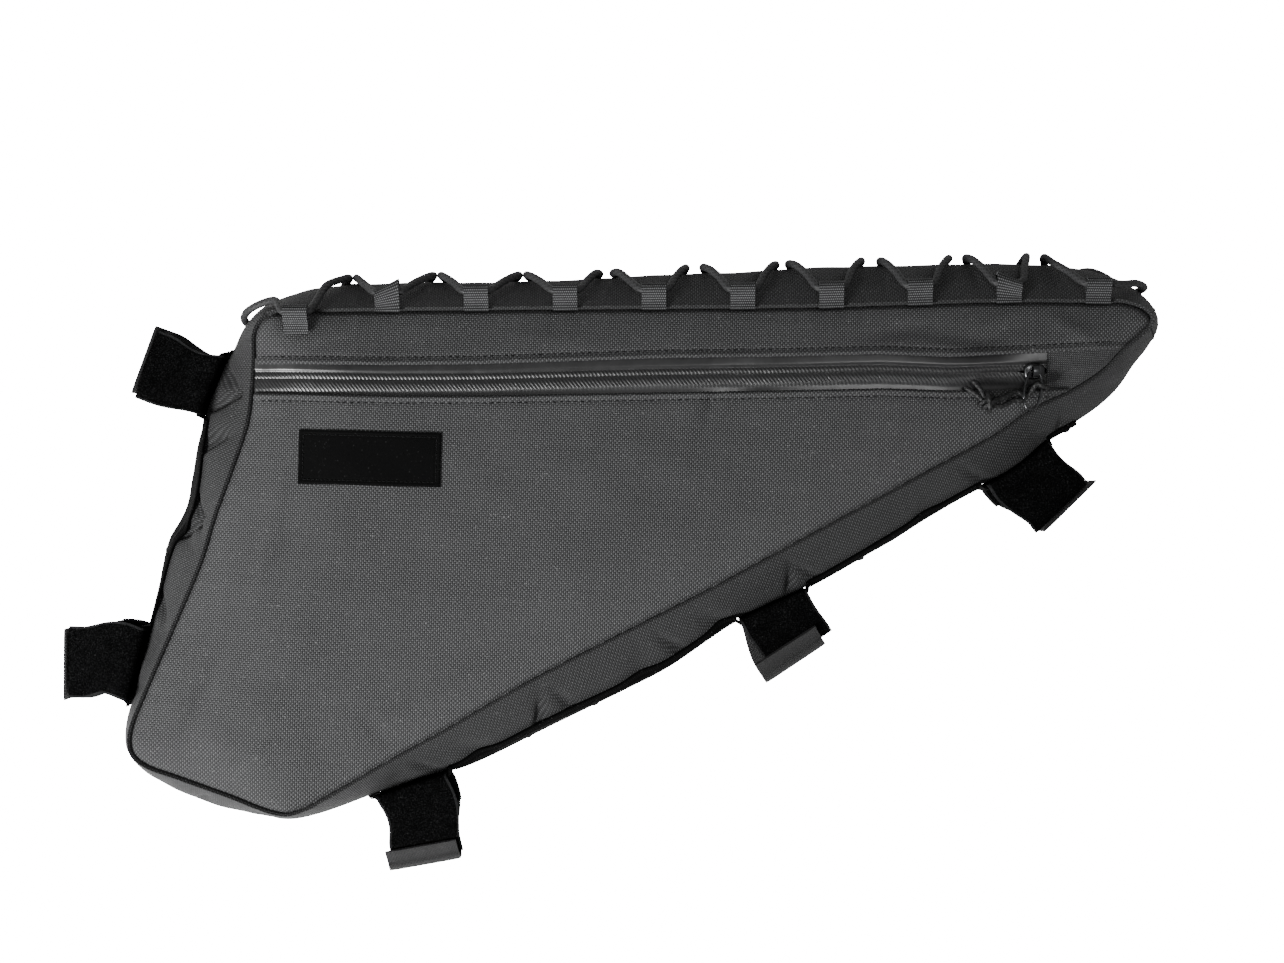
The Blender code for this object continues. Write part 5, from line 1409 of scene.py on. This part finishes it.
def pull_route(knot):
    """The doubled strand from one side of the knot, through the ring, and back to the other."""
    near, far = ring_point(NEAR_AT), ring_point(FAR_AT)
    clear = (RING_WIRE + PULL_CORD) / 2 + 2 * GAP
    side = ring_down * PULL_CORD * 0.55
    across = ring_across * MM
    rise = np.array([0, 0, 1.0])
    under = near - rise * clear
    lower = [under + across * 4 + side * 1.5 - rise * 0.6 * MM, under + side,
             far + across * 3.4 + side * 0.4 - rise * clear, far - rise * clear]
    upper = [far + rise * clear, far + across * 2.8 - side * 0.4 + rise * clear * 0.75,
             under - across * 2.4 - side * 1.2 + rise * 0.6 * MM, under - side * 1.2,
             under + across * 4 - side * 1.6]
    apart = 0.5 * MM + PULL_CORD * 0.55
    first = knot + np.array([6.5 * MM, -apart, -0.4 * MM])
    last = knot + np.array([6.5 * MM, apart, 0.2 * MM])
    return [first] + lower + [far - ring_across * clear * 1.12] + upper + [last]


def turn_round(centre, tilt, shift, wide, high):
    """A closed turn of cord round the knot's axis."""
    axis = unit(KNOT_AXIS)
    flat = np.array([-axis[1], axis[0], 0.0])
    angles = np.linspace(0, math.tau, 28, endpoint=False)
    turn = np.outer(shift + tilt * np.cos(angles), axis) + np.outer(wide * np.cos(angles), flat)
    turn[:, 2] += high * np.sin(angles)
    return centre + turn * MM


def tail(knot, dx, dy, shift):
    """One end of the cord, from the knot out to its tip."""
    tip = knot + np.array([dx, dy, -0.6]) * MM
    leaves = knot + np.array([-2.5, 1.5 + shift * 1.2, 0.6]) * MM
    return [leaves, (knot + tip) / 2 + np.array([0, 0.4 * shift, 1.2]) * MM, tip]


knot_x = SLIDER_X - KNOT_FROM_SLIDER
knot_y = float(zip_line(knot_x)[0]) - KNOT_BELOW_ZIP
knot_z = float(face_height(np.array([knot_x]), np.array([knot_y]))[0])
knot = np.array([knot_x, knot_y, knot_z + 2 * GAP + KNOT_MIDDLE])
whole = tail(knot, -12.5, 8.0, -1)[::-1]
whole += [knot + np.array([1.5 * MM, -PULL_CORD * 0.52, 0])] + pull_route(knot)
whole += [knot + np.array([1.5 * MM, PULL_CORD * 0.52, 0.4 * MM])] + tail(knot, -8.5, 11.5, 1)
knot_parts = [tube_parts(smooth_path(whole, PULL_STEP), PULL_RADIUS, 10)]
for turn in KNOT_TURNS:
    knot_parts.append(tube_parts(turn_round(knot, *turn), PULL_RADIUS, 10, closed=True))
add_piece("knotted_pull_cord", *joined(knot_parts), PULL, "cord", ["zip_pull_cord"])
print("pull cord: doubled, one knot")


# %% [markdown]
# ## The label
# A small satin patch is sewn on with a stitched border. It stays bare: only its folded rim and its
# thread show.
# %% Label
def label_point(u, v):
    dx, dy = u * LABEL_WIDTH, v * LABEL_HEIGHT
    turn_x, turn_y = math.cos(LABEL_TURN), math.sin(LABEL_TURN)
    return LABEL_AT[0] + dx * turn_x - dy * turn_y, LABEL_AT[1] + dx * turn_y + dy * turn_x


def label_skin(x, y):
    return face_skin(x, y) + LABEL_THICKNESS + GAP


RIM_AT = 1.1 * MM
RIM_WIDTH = 0.8 * MM
RIM_PUFF = 0.35 * MM
EDGE_DROP = 0.25 * MM
EDGE_WIDTH = 0.3 * MM
INSET = 2.4 * MM
LABEL_STITCHES = (2.3 * MM, 1.8 * MM, 0.4 * MM)
STITCH_SINK = 0.25 * MM
STITCH_SINK_WIDTH = 0.5 * MM
u, v = np.meshgrid(np.linspace(-0.5, 0.5, 90), np.linspace(-0.5, 0.5, 40), indexing="ij")
x, y = label_point(u, v)
rim = np.minimum((0.5 - np.abs(u)) * LABEL_WIDTH, (0.5 - np.abs(v)) * LABEL_HEIGHT)
puff = RIM_PUFF * np.exp(-((rim - RIM_AT) / RIM_WIDTH) ** 2) - EDGE_DROP * np.exp(-rim / EDGE_WIDTH)
sunk = STITCH_SINK * np.exp(-((rim - INSET) / STITCH_SINK_WIDTH) ** 2)
label_points = np.stack([x, y, label_skin(x, y) + puff - sunk], -1)
label_lay = lay_of(u * LABEL_WIDTH, v * LABEL_HEIGHT)
add_sheet("satin_label", label_points, LABEL_THICKNESS, label_lay, LABEL_CLOTH, "patch", ["label"])
half_u, half_v = 0.5 - INSET / LABEL_WIDTH, 0.5 - INSET / LABEL_HEIGHT
corners = [(-half_u, -half_v), (half_u, -half_v), (half_u, half_v), (-half_u, half_v)]
border = []
for start, end in zip(corners, corners[1:] + corners[:1]):
    bx, by = label_point(*np.linspace(start, end, 30).T)
    border.append(stitched_line(bx, by, label_skin, *LABEL_STITCHES))
add_piece("label_stitches", *joined(border), THREAD, "patch")
print("label: stitched on four sides")

# %% [markdown]
# ## The lacing
# Folded webbing tabs stand along the front and back seams of the top edge, and an elastic cord runs
# through them in turn. Each tab is a strip that goes out, round the cord and back.
# %% Places of the tabs
# Arc between two front tabs: shift / pitch, half spread on the belly / pitch, stand-off / cord
LACE_ARCS = [
    (0.06, 0.041, 1.20), (0.02, 0.041, 1.25), (0.00, 0.041, 1.20), (-0.04, 0.075, 0.75),
    (-0.03, 0.095, 1.05), (-0.02, 0.070, 0.90), (0.01, 0.105, 0.85), (0.00, 0.095, 1.05),
    (-0.13, 0.100, 1.45),
]
# Share of the way, height up the side cloth, stand-off / cord: up to the belly and down from it
LACE_RISE = [(0.40, 0.720, 0.55), (0.78, 0.585, 0.45)]
LACE_FALL = [(0.50, 0.34, 0.38), (1.00, 0.20, 0.18)]
# The two ends: place / cord from the corner and / pitch from the last tab, height, stand-off / cord
LACE_START = [(-2.5, 0.22, 0.15), (-2.0, 0.50, 0.30), (-1.0, 0.72, 0.45), (1.0, 0.90, 0.30)]
LACE_END = [
    (0.13, 0.86, 0.60), (0.26, 0.70, 0.50), (0.35, 0.48, 0.45), (0.30, 0.24, 0.35),
    (0.18, 0.26, 0.35), (0.06, 0.34, 0.45), (-0.12, 0.36, 0.45), (-0.30, 0.30, 0.35),
    (-0.40, 0.22, 0.25),
]
FIRST_HEAD_PAST = 0.5 * MM
UP = np.array([0.0, 0.0, 1.0])


def tab_station(number):
    share = FIRST_TAB_AT + (LAST_TAB_AT - FIRST_TAB_AT) * number / len(LACE_ARCS)
    return seam.along("top", share)


def back_station(number):
    first, last = tab_station(number), tab_station(number + 1)
    return first + (last - first) * (0.5 + LACE_ARCS[number][0])


def front_tab_ends(number):
    """Root and head of a front tab; the first one lies back over the face."""
    s = tab_station(number)
    x, y, height, _ = (float(value) for value in seam.at(s))
    out = seam.normal(s)
    at_seam = np.array([x, y, height])
    up = GAP * 3 + TAB_THICKNESS
    if number == 0:
        root = at_seam - out * TAB_REACH * 1.05
        root[2] = float(face_height(root[:1], root[1:2], False)[0]) + up + GAP
        head = at_seam + out * FIRST_HEAD_PAST
        head[2] = root[2] + LACE_DIAMETER / 2 + TAB_SLACK
        return root, head
    root = at_seam + out * (SEAM_OPENING * 0.3) + UP * up
    return root, root + out * TAB_REACH + UP * GAP


def back_tab_ends(number):
    s = back_station(number)
    x, y, _, _ = (float(value) for value in seam.at(s))
    out = seam.normal(s)
    root = np.array([x, y, TAB_THICKNESS + GAP * 0.7]) + out * (SEAM_OPENING + GAP)
    head = root + out * TAB_REACH * BACK_TAB_SHARE
    head[2] = LACE_DIAMETER / 2 + TAB_SLACK + TAB_THICKNESS + GAP
    return root, head


# %% Tabs
TAB_RIB = 1.35 * MM
TAB_RIB_HEIGHT = 0.20 * MM
TAB_CLASP = math.radians(112)
TAB_TUCK = 1.0 * MM
TAB_FLAT = 0.30
TAB_STEP = 0.4 * MM
TAB_COLUMNS = 13
TAB_SLANTS = {1: 0.5, 8: -0.4}


def lace_tab(name, root, head, slant=0.0):
    """A ribbed strip folded round the lace, its two ends together in the seam."""
    axis = unit(head - root)
    reach = float(np.linalg.norm(head - root))
    width = unit(np.cross(UP, axis))
    up = np.cross(axis, width)
    round_at = LACE_DIAMETER / 2 + TAB_SLACK + TAB_THICKNESS / 2
    lift = TAB_THICKNESS * 0.52
    arc = np.linspace(TAB_CLASP, -TAB_CLASP, 15)
    flat = [(-TAB_TUCK, lift), (reach * TAB_FLAT, lift)]
    flat += [(reach + round_at * math.cos(a), round_at * math.sin(a)) for a in arc]
    flat += [(reach * TAB_FLAT, -lift), (-TAB_TUCK, -lift)]
    path = smooth_path([(a, b, 0.0) for a, b in flat], TAB_STEP)
    run = lengths_along(path)
    across = np.linspace(-0.5, 0.5, TAB_COLUMNS) * TAB_WIDTH
    centre = root + np.outer(path[:, 0], axis) + np.outer(path[:, 1], up)
    lean = slant * path[:, :1] * across[None] / TAB_WIDTH
    points = centre[:, None] - across[None, :, None] * width + lean[..., None] * axis
    bulge = TAB_RIB_HEIGHT * np.abs(np.sin(math.pi * run / TAB_RIB))
    edge = 1 - 0.6 * (np.abs(across) / (TAB_WIDTH / 2)) ** 8
    points = points + surface_normals(points) * (bulge[:, None] * edge)[..., None]
    return add_sheet(name % "tab", points, TAB_THICKNESS * 0.95, lay_of(run[:, None], across[None]),
                     WEBBING, "webbing", [name % "loop"], middle=True)


for number in range(len(LACE_ARCS) + 1):
    lace_tab("front_%%s_%02d" % (number + 1), *front_tab_ends(number), TAB_SLANTS.get(number, 0.0))
for number in range(len(LACE_ARCS)):
    lace_tab("back_%%s_%02d" % (number + 1), *back_tab_ends(number))
print("tabs:", 2 * len(LACE_ARCS) + 1)


# %% [markdown]
# The lace is a single round elastic. Its route is a list of places: through a front tab, out over
# the belly of the side cloth, through a back tab and up again. It is held by a tab every few
# centimetres, so it doesn't hang.
# %% Lace
THROUGH = 0.50 * TAB_WIDTH
BESIDE = 0.60 * TAB_WIDTH
HOOK_BESIDE = 0.55 * TAB_WIDTH + 0.7 * LACE_DIAMETER
LACE_STEP = 1.1 * MM


def lace_off(s, height, stand_off):
    return off_side(s, height, LACE_DIAMETER / 2 + max(2 * GAP, stand_off * LACE_DIAMETER))


def lace_through(head, s):
    """Places where the lace passes through a tab."""
    aside = seam.tangent(s) * THROUGH
    return [head - aside, head, head + aside]


def lace_run(number, s_from, s_to, sign):
    """Places from beside a front tab over the belly to beside the back tab."""
    _, spread, stand_off = LACE_ARCS[number]
    pitch = tab_station(number + 1) - tab_station(number)
    peak = back_station(number) - sign * spread * pitch
    hook = s_to - sign * HOOK_BESIDE
    run = [lace_off(s_from + (peak - s_from) * share, w, off) for share, w, off in LACE_RISE]
    run.append(off_side(peak, 0.5, max(0.75 * stand_off, 0.55) * LACE_DIAMETER))
    return run + [lace_off(peak + (hook - peak) * share, w, off) for share, w, off in LACE_FALL]


def lace_route():
    corner = seam.marks["top_left"]
    places = [lace_off(corner + at * LACE_DIAMETER, w, off) for at, w, off in LACE_START]
    places += lace_through(front_tab_ends(0)[1], tab_station(0))
    for number in range(len(LACE_ARCS)):
        s_back, s_next = back_station(number), tab_station(number + 1)
        places += lace_run(number, tab_station(number) + BESIDE, s_back, 1)
        places += lace_through(back_tab_ends(number)[1], s_back)
        places += lace_run(number, s_next - BESIDE, s_back, -1)[::-1]
        places += lace_through(front_tab_ends(number + 1)[1], s_next)
    last = tab_station(len(LACE_ARCS)) + TAB_WIDTH / 2
    pitch = tab_station(1) - tab_station(0)
    return places + [lace_off(last + at * pitch, w, off) for at, w, off in LACE_END]


lace_path = smooth_path(lace_route(), LACE_STEP)
lace = tube_parts(lace_path, LACE_DIAMETER / 2, 12)
add_piece("braided_lace", *lace, CORD, "cord", ["lace_cord"])
print("lace: %.2f m" % lengths_along(lace_path)[-1])

# %% [markdown]
# ## Webbing and straps
# A tape of webbing is sewn along two sides, and the straps thread behind it. It stands off the cloth
# where a strap passes, and hangs slack between the places where it is tacked down.
# %% Tables of webbing and straps
# name, edge, share, lean in degrees, reach, fold height, slip, hook band
STRAPS = [
    ("strap_1", "seat", 0.823, -14, 1.06, 0.34, 0.05, 0.0),
    ("strap_2", "seat", 0.170, 22, 1.08, 0.34, -0.04, 0.0),
    ("strap_3", "down", 0.883, -19, 1.14, 0.34, 0.06, 0.28),
    ("strap_4", "down", 0.473, 5, 0.86, 0.34, 0.18, 0.30),
    ("strap_5", "down", 0.187, 11, 0.86, 0.80, -0.10, 0.0),
]
# Fuzzy tape from near its end to the webbing: distance out / reach, drop and bow shares
FUZZY_RUN = [(0.76, 0.16, 1.0), (0.55, 0.46, 1.0), (0.34, 0.80, 0.6)]
WEBBINGS = [("webbing_seat", "seat", 0.08, 0.92), ("webbing_down", "down", 0.11, 0.93)]
# share along the edge, stand-off / clearance, flare of the lower edge / width
WEBBING_LIE = {
    "seat": [(0.00, 0.02), (0.28, 0.16), (0.42, 0.26), (0.58, 0.34), (0.68, 0.24), (0.76, 0.12),
             (1.00, 0.02)],
    "down": [(0.00, 0.02), (0.12, 0.05), (0.25, 0.06), (0.33, 0.12), (0.42, 0.04), (0.52, 0.04),
             (0.60, 0.06), (0.72, 0.14), (0.83, 0.14), (0.93, 0.04), (1.00, 0.02)],
}


# %% [markdown]
# Where a strap passes, the webbing stands clear of it and is straight. Elsewhere it follows the cloth
# from its upper edge and then leaves it, as far as its lower edge flares.
# %% How the webbing lies
# Half width of the strap's passage, and the length over which the webbing comes back to the cloth
PASSAGE = STRAP_WIDTH * 0.505
PASSAGE_EASE = STRAP_WIDTH * 0.04
OVER_STRAP = 2 * STRAP_CLEARANCE + STRAP_THICKNESS
OFF_CLOTH = SIDE_WAVE + 0.1 * MM


def webbing_lie(edge, s):
    """Stand-off over the straps and flare of the lower edge, at each length."""
    start, end = seam.span(edge)
    rows = np.array(WEBBING_LIE[edge])
    flare = np.interp((s - start) / (end - start), rows[:, 0], rows[:, 1]) * WEBBING_WIDTH
    lift = 0 * s
    for _, strap_edge, strap_share, *_ in STRAPS:
        if strap_edge == edge:
            away = np.abs(s - seam.along(edge, strap_share)) - PASSAGE
            ease = eased(1 - away / PASSAGE_EASE)
            lift = np.maximum(lift, ease * OVER_STRAP)
            flare = flare * (1 - ease)
    return lift, flare


def webbing_reach(s, height, lift, flare):
    """How far the webbing's inner side stands off the seam: along the cloth, then out to its edge."""
    x, y, seam_height, belly = seam.at(s)
    w = np.clip((height - BACK_SEAM_HEIGHT) / (seam_height - BACK_SEAM_HEIGHT), 0.02, 0.98)
    skin = side_skin(s, w, False)
    cloth = np.hypot(skin[..., 0] - x, skin[..., 1] - y) + OFF_CLOTH
    down = (height[..., :1] - height) / WEBBING_WIDTH
    top = cloth[..., :1]
    loose = np.maximum(cloth, top + (belly + flare - top) * down)
    held = np.clip(lift / OVER_STRAP, 0, 1)
    return loose * (1 - held) + (belly + lift) * held


def belly_place(s, lift, height):
    """Point level with height, held off the belly line by lift in plan."""
    x, y, _, belly = seam.at(s)
    place = np.stack([x, y, height + 0 * x], -1)
    return place + seam.normal(s) * (belly + lift)[..., None]


def belly_height(s):
    return side_skin(s, 0.5, False)[..., 2]


# %% Webbing
WEBBING_SAG = 5.0 * MM
WEBBING_STEP = 1.6 * MM
WEBBING_ROWS = 21
WEBBING_RIBS = 5
WEBBING_RIB = 0.16 * MM
WEBBING_BODY = WEBBING_THICKNESS * 0.8


def edge_webbing(name, edge, first, last):
    stations = np.arange(seam.along(edge, first), seam.along(edge, last), WEBBING_STEP)
    across = np.linspace(0, 1, WEBBING_ROWS)
    lift, flare = webbing_lie(edge, stations)
    height = belly_height(stations)[:, None] + (0.5 - across[None]) * WEBBING_WIDTH
    height = height - WEBBING_SAG * (1 - lift[:, None] / lift.max())
    s = np.repeat(stations[:, None], len(across), axis=1)
    reach = webbing_reach(s, height, lift[:, None], flare[:, None])
    x, y, _, _ = seam.at(s)
    points = np.stack([x, y, height], -1) + seam.normal(s) * reach[..., None]
    ribs = WEBBING_RIB * np.abs(np.sin(math.pi * across * WEBBING_RIBS))
    points = points + surface_normals(points) * ribs[:, None]
    points = points + surface_normals(points) * WEBBING_BODY
    lay = lay_of(across[None] * WEBBING_WIDTH, stations[:, None])
    return add_sheet("tape_" + name, points, WEBBING_BODY, lay, EDGE_WEBBING, "webbing", [name])


for name, edge, first, last in WEBBINGS:
    edge_webbing(name, edge, first, last)
print("webbing tapes:", len(WEBBINGS))


# %% [markdown]
# Bar tacks, dense zigzags of thread across the webbing, hold it to the bag between the straps.
# %% Bar tacks
TACK_STITCHES = 22
TACK_REACH = 0.42
TACK_LEAN = 0.5 / 2.4
TACK_RISE = 0.1 * MM
TACK_LENGTH = 3.2 * MM
TACK_THREAD = 0.55 * MM


def bar_tack(edge, share):
    s = np.full(TACK_STITCHES, seam.along(edge, share))
    lift, flare = webbing_lie(edge, s)
    tops = np.linspace(TACK_REACH, -TACK_REACH, TACK_STITCHES) * WEBBING_WIDTH
    height = belly_height(s) + tops - WEBBING_SAG
    out = webbing_reach(s[None], height[None], lift[None], flare[None])[0]
    out = out + WEBBING_THICKNESS + TACK_RISE
    places = belly_place(s, out - seam.at(s)[3], height)
    lean = np.where(np.arange(TACK_STITCHES) % 2, TACK_LEAN, -TACK_LEAN)
    headings = seam.tangent(s) + np.outer(lean, UP)
    return stitches(places, headings, seam.normal(s), TACK_LENGTH, TACK_THREAD)


tacks = [("seat", 0.08), ("seat", 0.42), ("seat", 0.91), ("down", 0.12), ("down", 0.37),
         ("down", 0.44), ("down", 0.68), ("down", 0.76), ("down", 0.925)]
add_piece("bar_tacks", *joined([bar_tack(*tack) for tack in tacks]), THREAD, "webbing")
print("bar tacks:", len(tacks))


# %% [markdown]
# Every strap is closed into a flat loop of two tapes: a fuzzy one that goes behind the webbing, and
# a hook tape that closes it. Their sections are drawn as a path in the vertical plane and swept
# across the width.
# %% Strap sections
def strap_sections(row):
    """Paths of both tapes, as distance out from the bag and height, and the room they share."""
    _, edge, share, _, reach_share, fold_share, _, band_share = row
    reach = reach_share * STRAP_REACH
    middle = float(belly_height(seam.along(edge, share)))
    tape = STRAP_THICKNESS
    behind = STRAP_CLEARANCE + tape / 2
    past = behind + tape / 2 + STRAP_CLEARANCE + WEBBING_THICKNESS
    over = WEBBING_WIDTH / 2 + 2 * STRAP_CLEARANCE + tape / 2
    floor = tape / 2 + GAP
    layer = tape + 2 * GAP
    top_root = middle + over
    low_root = max(middle - over, floor + layer + GAP)
    fold_top = floor + layer + fold_share * BELLY
    drop = top_root - fold_top
    bow = 0.10 * reach if fold_share > 0.5 else 0.0
    band = band_share * STRAP_WIDTH
    end = reach - (2.2 * tape if band else 1.4 * tape)
    bend = tape * 0.8
    fuzzy = [(end, fold_top)]
    fuzzy += [(reach * out, fold_top + drop * fall + bow * arch) for out, fall, arch in FUZZY_RUN]
    fuzzy += [
        (past + bend, top_root + GAP), (behind + bend, top_root + GAP),
        (behind + bend * 0.25, top_root - bend * 0.35), (behind, top_root - bend * 1.3),
        (behind, middle), (behind, low_root + bend * 1.3),
        (behind + bend * 0.25, low_root + bend * 0.35),
        (behind + bend, low_root - GAP), (past + bend, low_root - GAP),
        (reach * 0.40, low_root * 0.55 + (floor + layer) * 0.45),
    ]
    lower_in = max(floor, low_root - layer - 2 * GAP)
    hook = [
        (past, lower_in), (reach * 0.30, max(floor, lower_in * 0.75)), (reach * 0.45, floor + GAP),
        (reach * 0.70, floor), (reach - 2.4 * tape, floor), (reach - 0.9 * tape, floor + tape * 0.2),
        (reach, floor + tape), (reach + tape * 0.2, (floor + fold_top + layer) / 2),
    ]
    if band:
        top = fold_top + layer + GAP
        shares, falls, _ = zip(*FUZZY_RUN[::-1])
        band_drop = drop * float(np.interp(1 - band / reach, shares, falls))
        hook += [(reach, top - tape * 0.9), (reach - 0.9 * tape, top - tape * 0.1),
                 (reach - 2.4 * tape, top + GAP), (reach - band, top + layer / 3 + band_drop)]
    else:
        hook += [(reach + tape * 0.1, fold_top + tape * 0.2),
                 (reach - tape * 0.1, fold_top + tape * 0.9)]
    return fuzzy, hook, (past, reach, middle, floor)


# %% [markdown]
# Under the webbing a tape follows the curve of the bag, and further out it runs straight and leans to
# one side. The grid eases from one to the other, and nowhere does it sink into the floor.
# %% Strap grids
STRAP_STEP = 1.3 * MM
STRAP_COLUMNS = 23
TURN_OUT = 0.75


def strap_ribbon(row, section, shift, room):
    """Grid of a strap's tape, with its lengths along and across."""
    _, edge, share, lean, *_ = row
    past, reach, middle, floor = room
    s0 = seam.along(edge, share)
    out = seam.normal(s0)
    turn = math.radians(lean)
    heading = out * math.cos(turn) + np.cross(UP, out) * math.sin(turn)
    side = np.cross(heading, UP)
    root = belly_place(np.array([s0]), np.zeros(1), np.zeros(1))[0]
    path = smooth_path([(a, h, 0.0) for a, h in section], STRAP_STEP)
    run = lengths_along(path)
    along = np.linspace(-0.5, 0.5, STRAP_COLUMNS) * STRAP_WIDTH
    away, height = path[:, :1], path[:, 1:2]
    held = belly_place(np.repeat((s0 + along)[None], len(path), axis=0), away, 0 * away)
    free = root + heading * away[..., None] + side * (along[None, :, None] + shift)
    ease = eased((away - past) / (TURN_OUT * (reach - past)))[..., None]
    points = held * (1 - ease) + free * ease
    settle = (belly_height(s0 + along) - middle)[None] * (1 - ease[..., 0])
    points[..., 2] = np.maximum(floor, height + settle)
    return points, run, along


# %% [markdown]
# Fuzz breaks the outline of the tape, which a bump can't do. So short hairs of four faces are
# scattered over both sides, from a fixed seed, and the result is the same every time.
# %% Fuzz
FUZZ = 2200
FUZZ_LENGTH = 0.9 * MM
FUZZ_WIDTH = 0.09 * MM
ON_FLOOR = 0.1 * MM
chance = np.random.default_rng(7)


def curls(points, amount):
    """Short leaning hairs over both sides of a fuzzy tape."""
    rows, columns = points.shape[:2]
    normals = surface_normals(points)
    i = chance.uniform(0, rows - 1.001, amount)
    j = chance.uniform(0, columns - 1.001, amount)
    a, b = i.astype(int), j.astype(int)
    fi, fj = (i - a)[:, None], (j - b)[:, None]
    base = (points[a, b] * (1 - fi) + points[a + 1, b] * fi) * (1 - fj)
    base += (points[a, b + 1] * (1 - fi) + points[a + 1, b + 1] * fi) * fj
    side = np.where(chance.random(amount) < 0.6, 1.0, -1.0)[:, None]
    out = normals[a, b] * side
    lean = chance.normal(0, 0.7, (amount, 3))
    tip = base + out * (STRAP_THICKNESS / 2 + FUZZ_LENGTH * chance.uniform(0.3, 1.0, (amount, 1)))
    tip = tip + lean * FUZZ_LENGTH * 0.5
    tip[:, 2] = np.maximum(tip[:, 2], ON_FLOOR)
    foot = base + out * STRAP_THICKNESS * 0.35
    spread = [np.cross(out, lean), lean, -lean - np.cross(out, lean)]
    feet = [foot + unit(arm) * FUZZ_WIDTH for arm in spread]
    vertices = np.stack(feet + [tip], 1).reshape(-1, 3)
    start = (np.arange(amount) * 4)[:, None]
    faces = np.concatenate([start + face for face in ([0, 1, 3], [1, 2, 3], [2, 0, 3], [0, 2, 1])])
    return vertices, faces.tolist(), np.zeros_like(vertices)


# %% [markdown]
# Both tapes of a strap are closed bodies with thinned edges. The fuzzy one carries its hairs in the
# same mesh, and the back of the hook tape is finely ribbed.
# %% Straps
HOOK_RIB = 0.12 * MM
HOOK_RIB_PITCH = 0.35 * MM
HOOK_TAPE = STRAP_THICKNESS * 0.85


def tape_parts(points, thickness, lay, edge_round=0.35):
    """A closed tape whose long sides are thinner than its middle."""
    normals = surface_normals(points)
    across = np.linspace(-1, 1, points.shape[1])
    half = thickness / 2 * (1 - edge_round * np.abs(across) ** 10)[None, :, None]
    vertices = np.stack([points + normals * half, points - normals * half]).reshape(-1, 3)
    return vertices, sheet_faces(*points.shape[:2]).tolist(), np.concatenate([lay, lay])


def strap(row):
    fuzzy, hook, room = strap_sections(row)
    name = row[0]
    points, run, along = strap_ribbon(row, fuzzy, 0.0, room)
    body = tape_parts(points, STRAP_THICKNESS, lay_of(run[:, None], along[None]))
    add_piece(name + "_fuzzy_tape", *joined([body, curls(points, FUZZ)]), FUZZY, "fuzzy_tape",
              [name + "_loop_tape"])
    points, run, along = strap_ribbon(row, hook, row[6] * STRAP_WIDTH, room)
    ribs = HOOK_RIB * np.sin(run / HOOK_RIB_PITCH)
    points = points + surface_normals(points) * ribs[:, None, None]
    body = tape_parts(points, HOOK_TAPE, lay_of(run[:, None], along[None]))
    add_piece(name + "_closing_tape", *body, HOOK, "hook_tape", [name + "_hook_tape"])


for row in STRAPS:
    strap(row)
print("straps:", len(STRAPS))
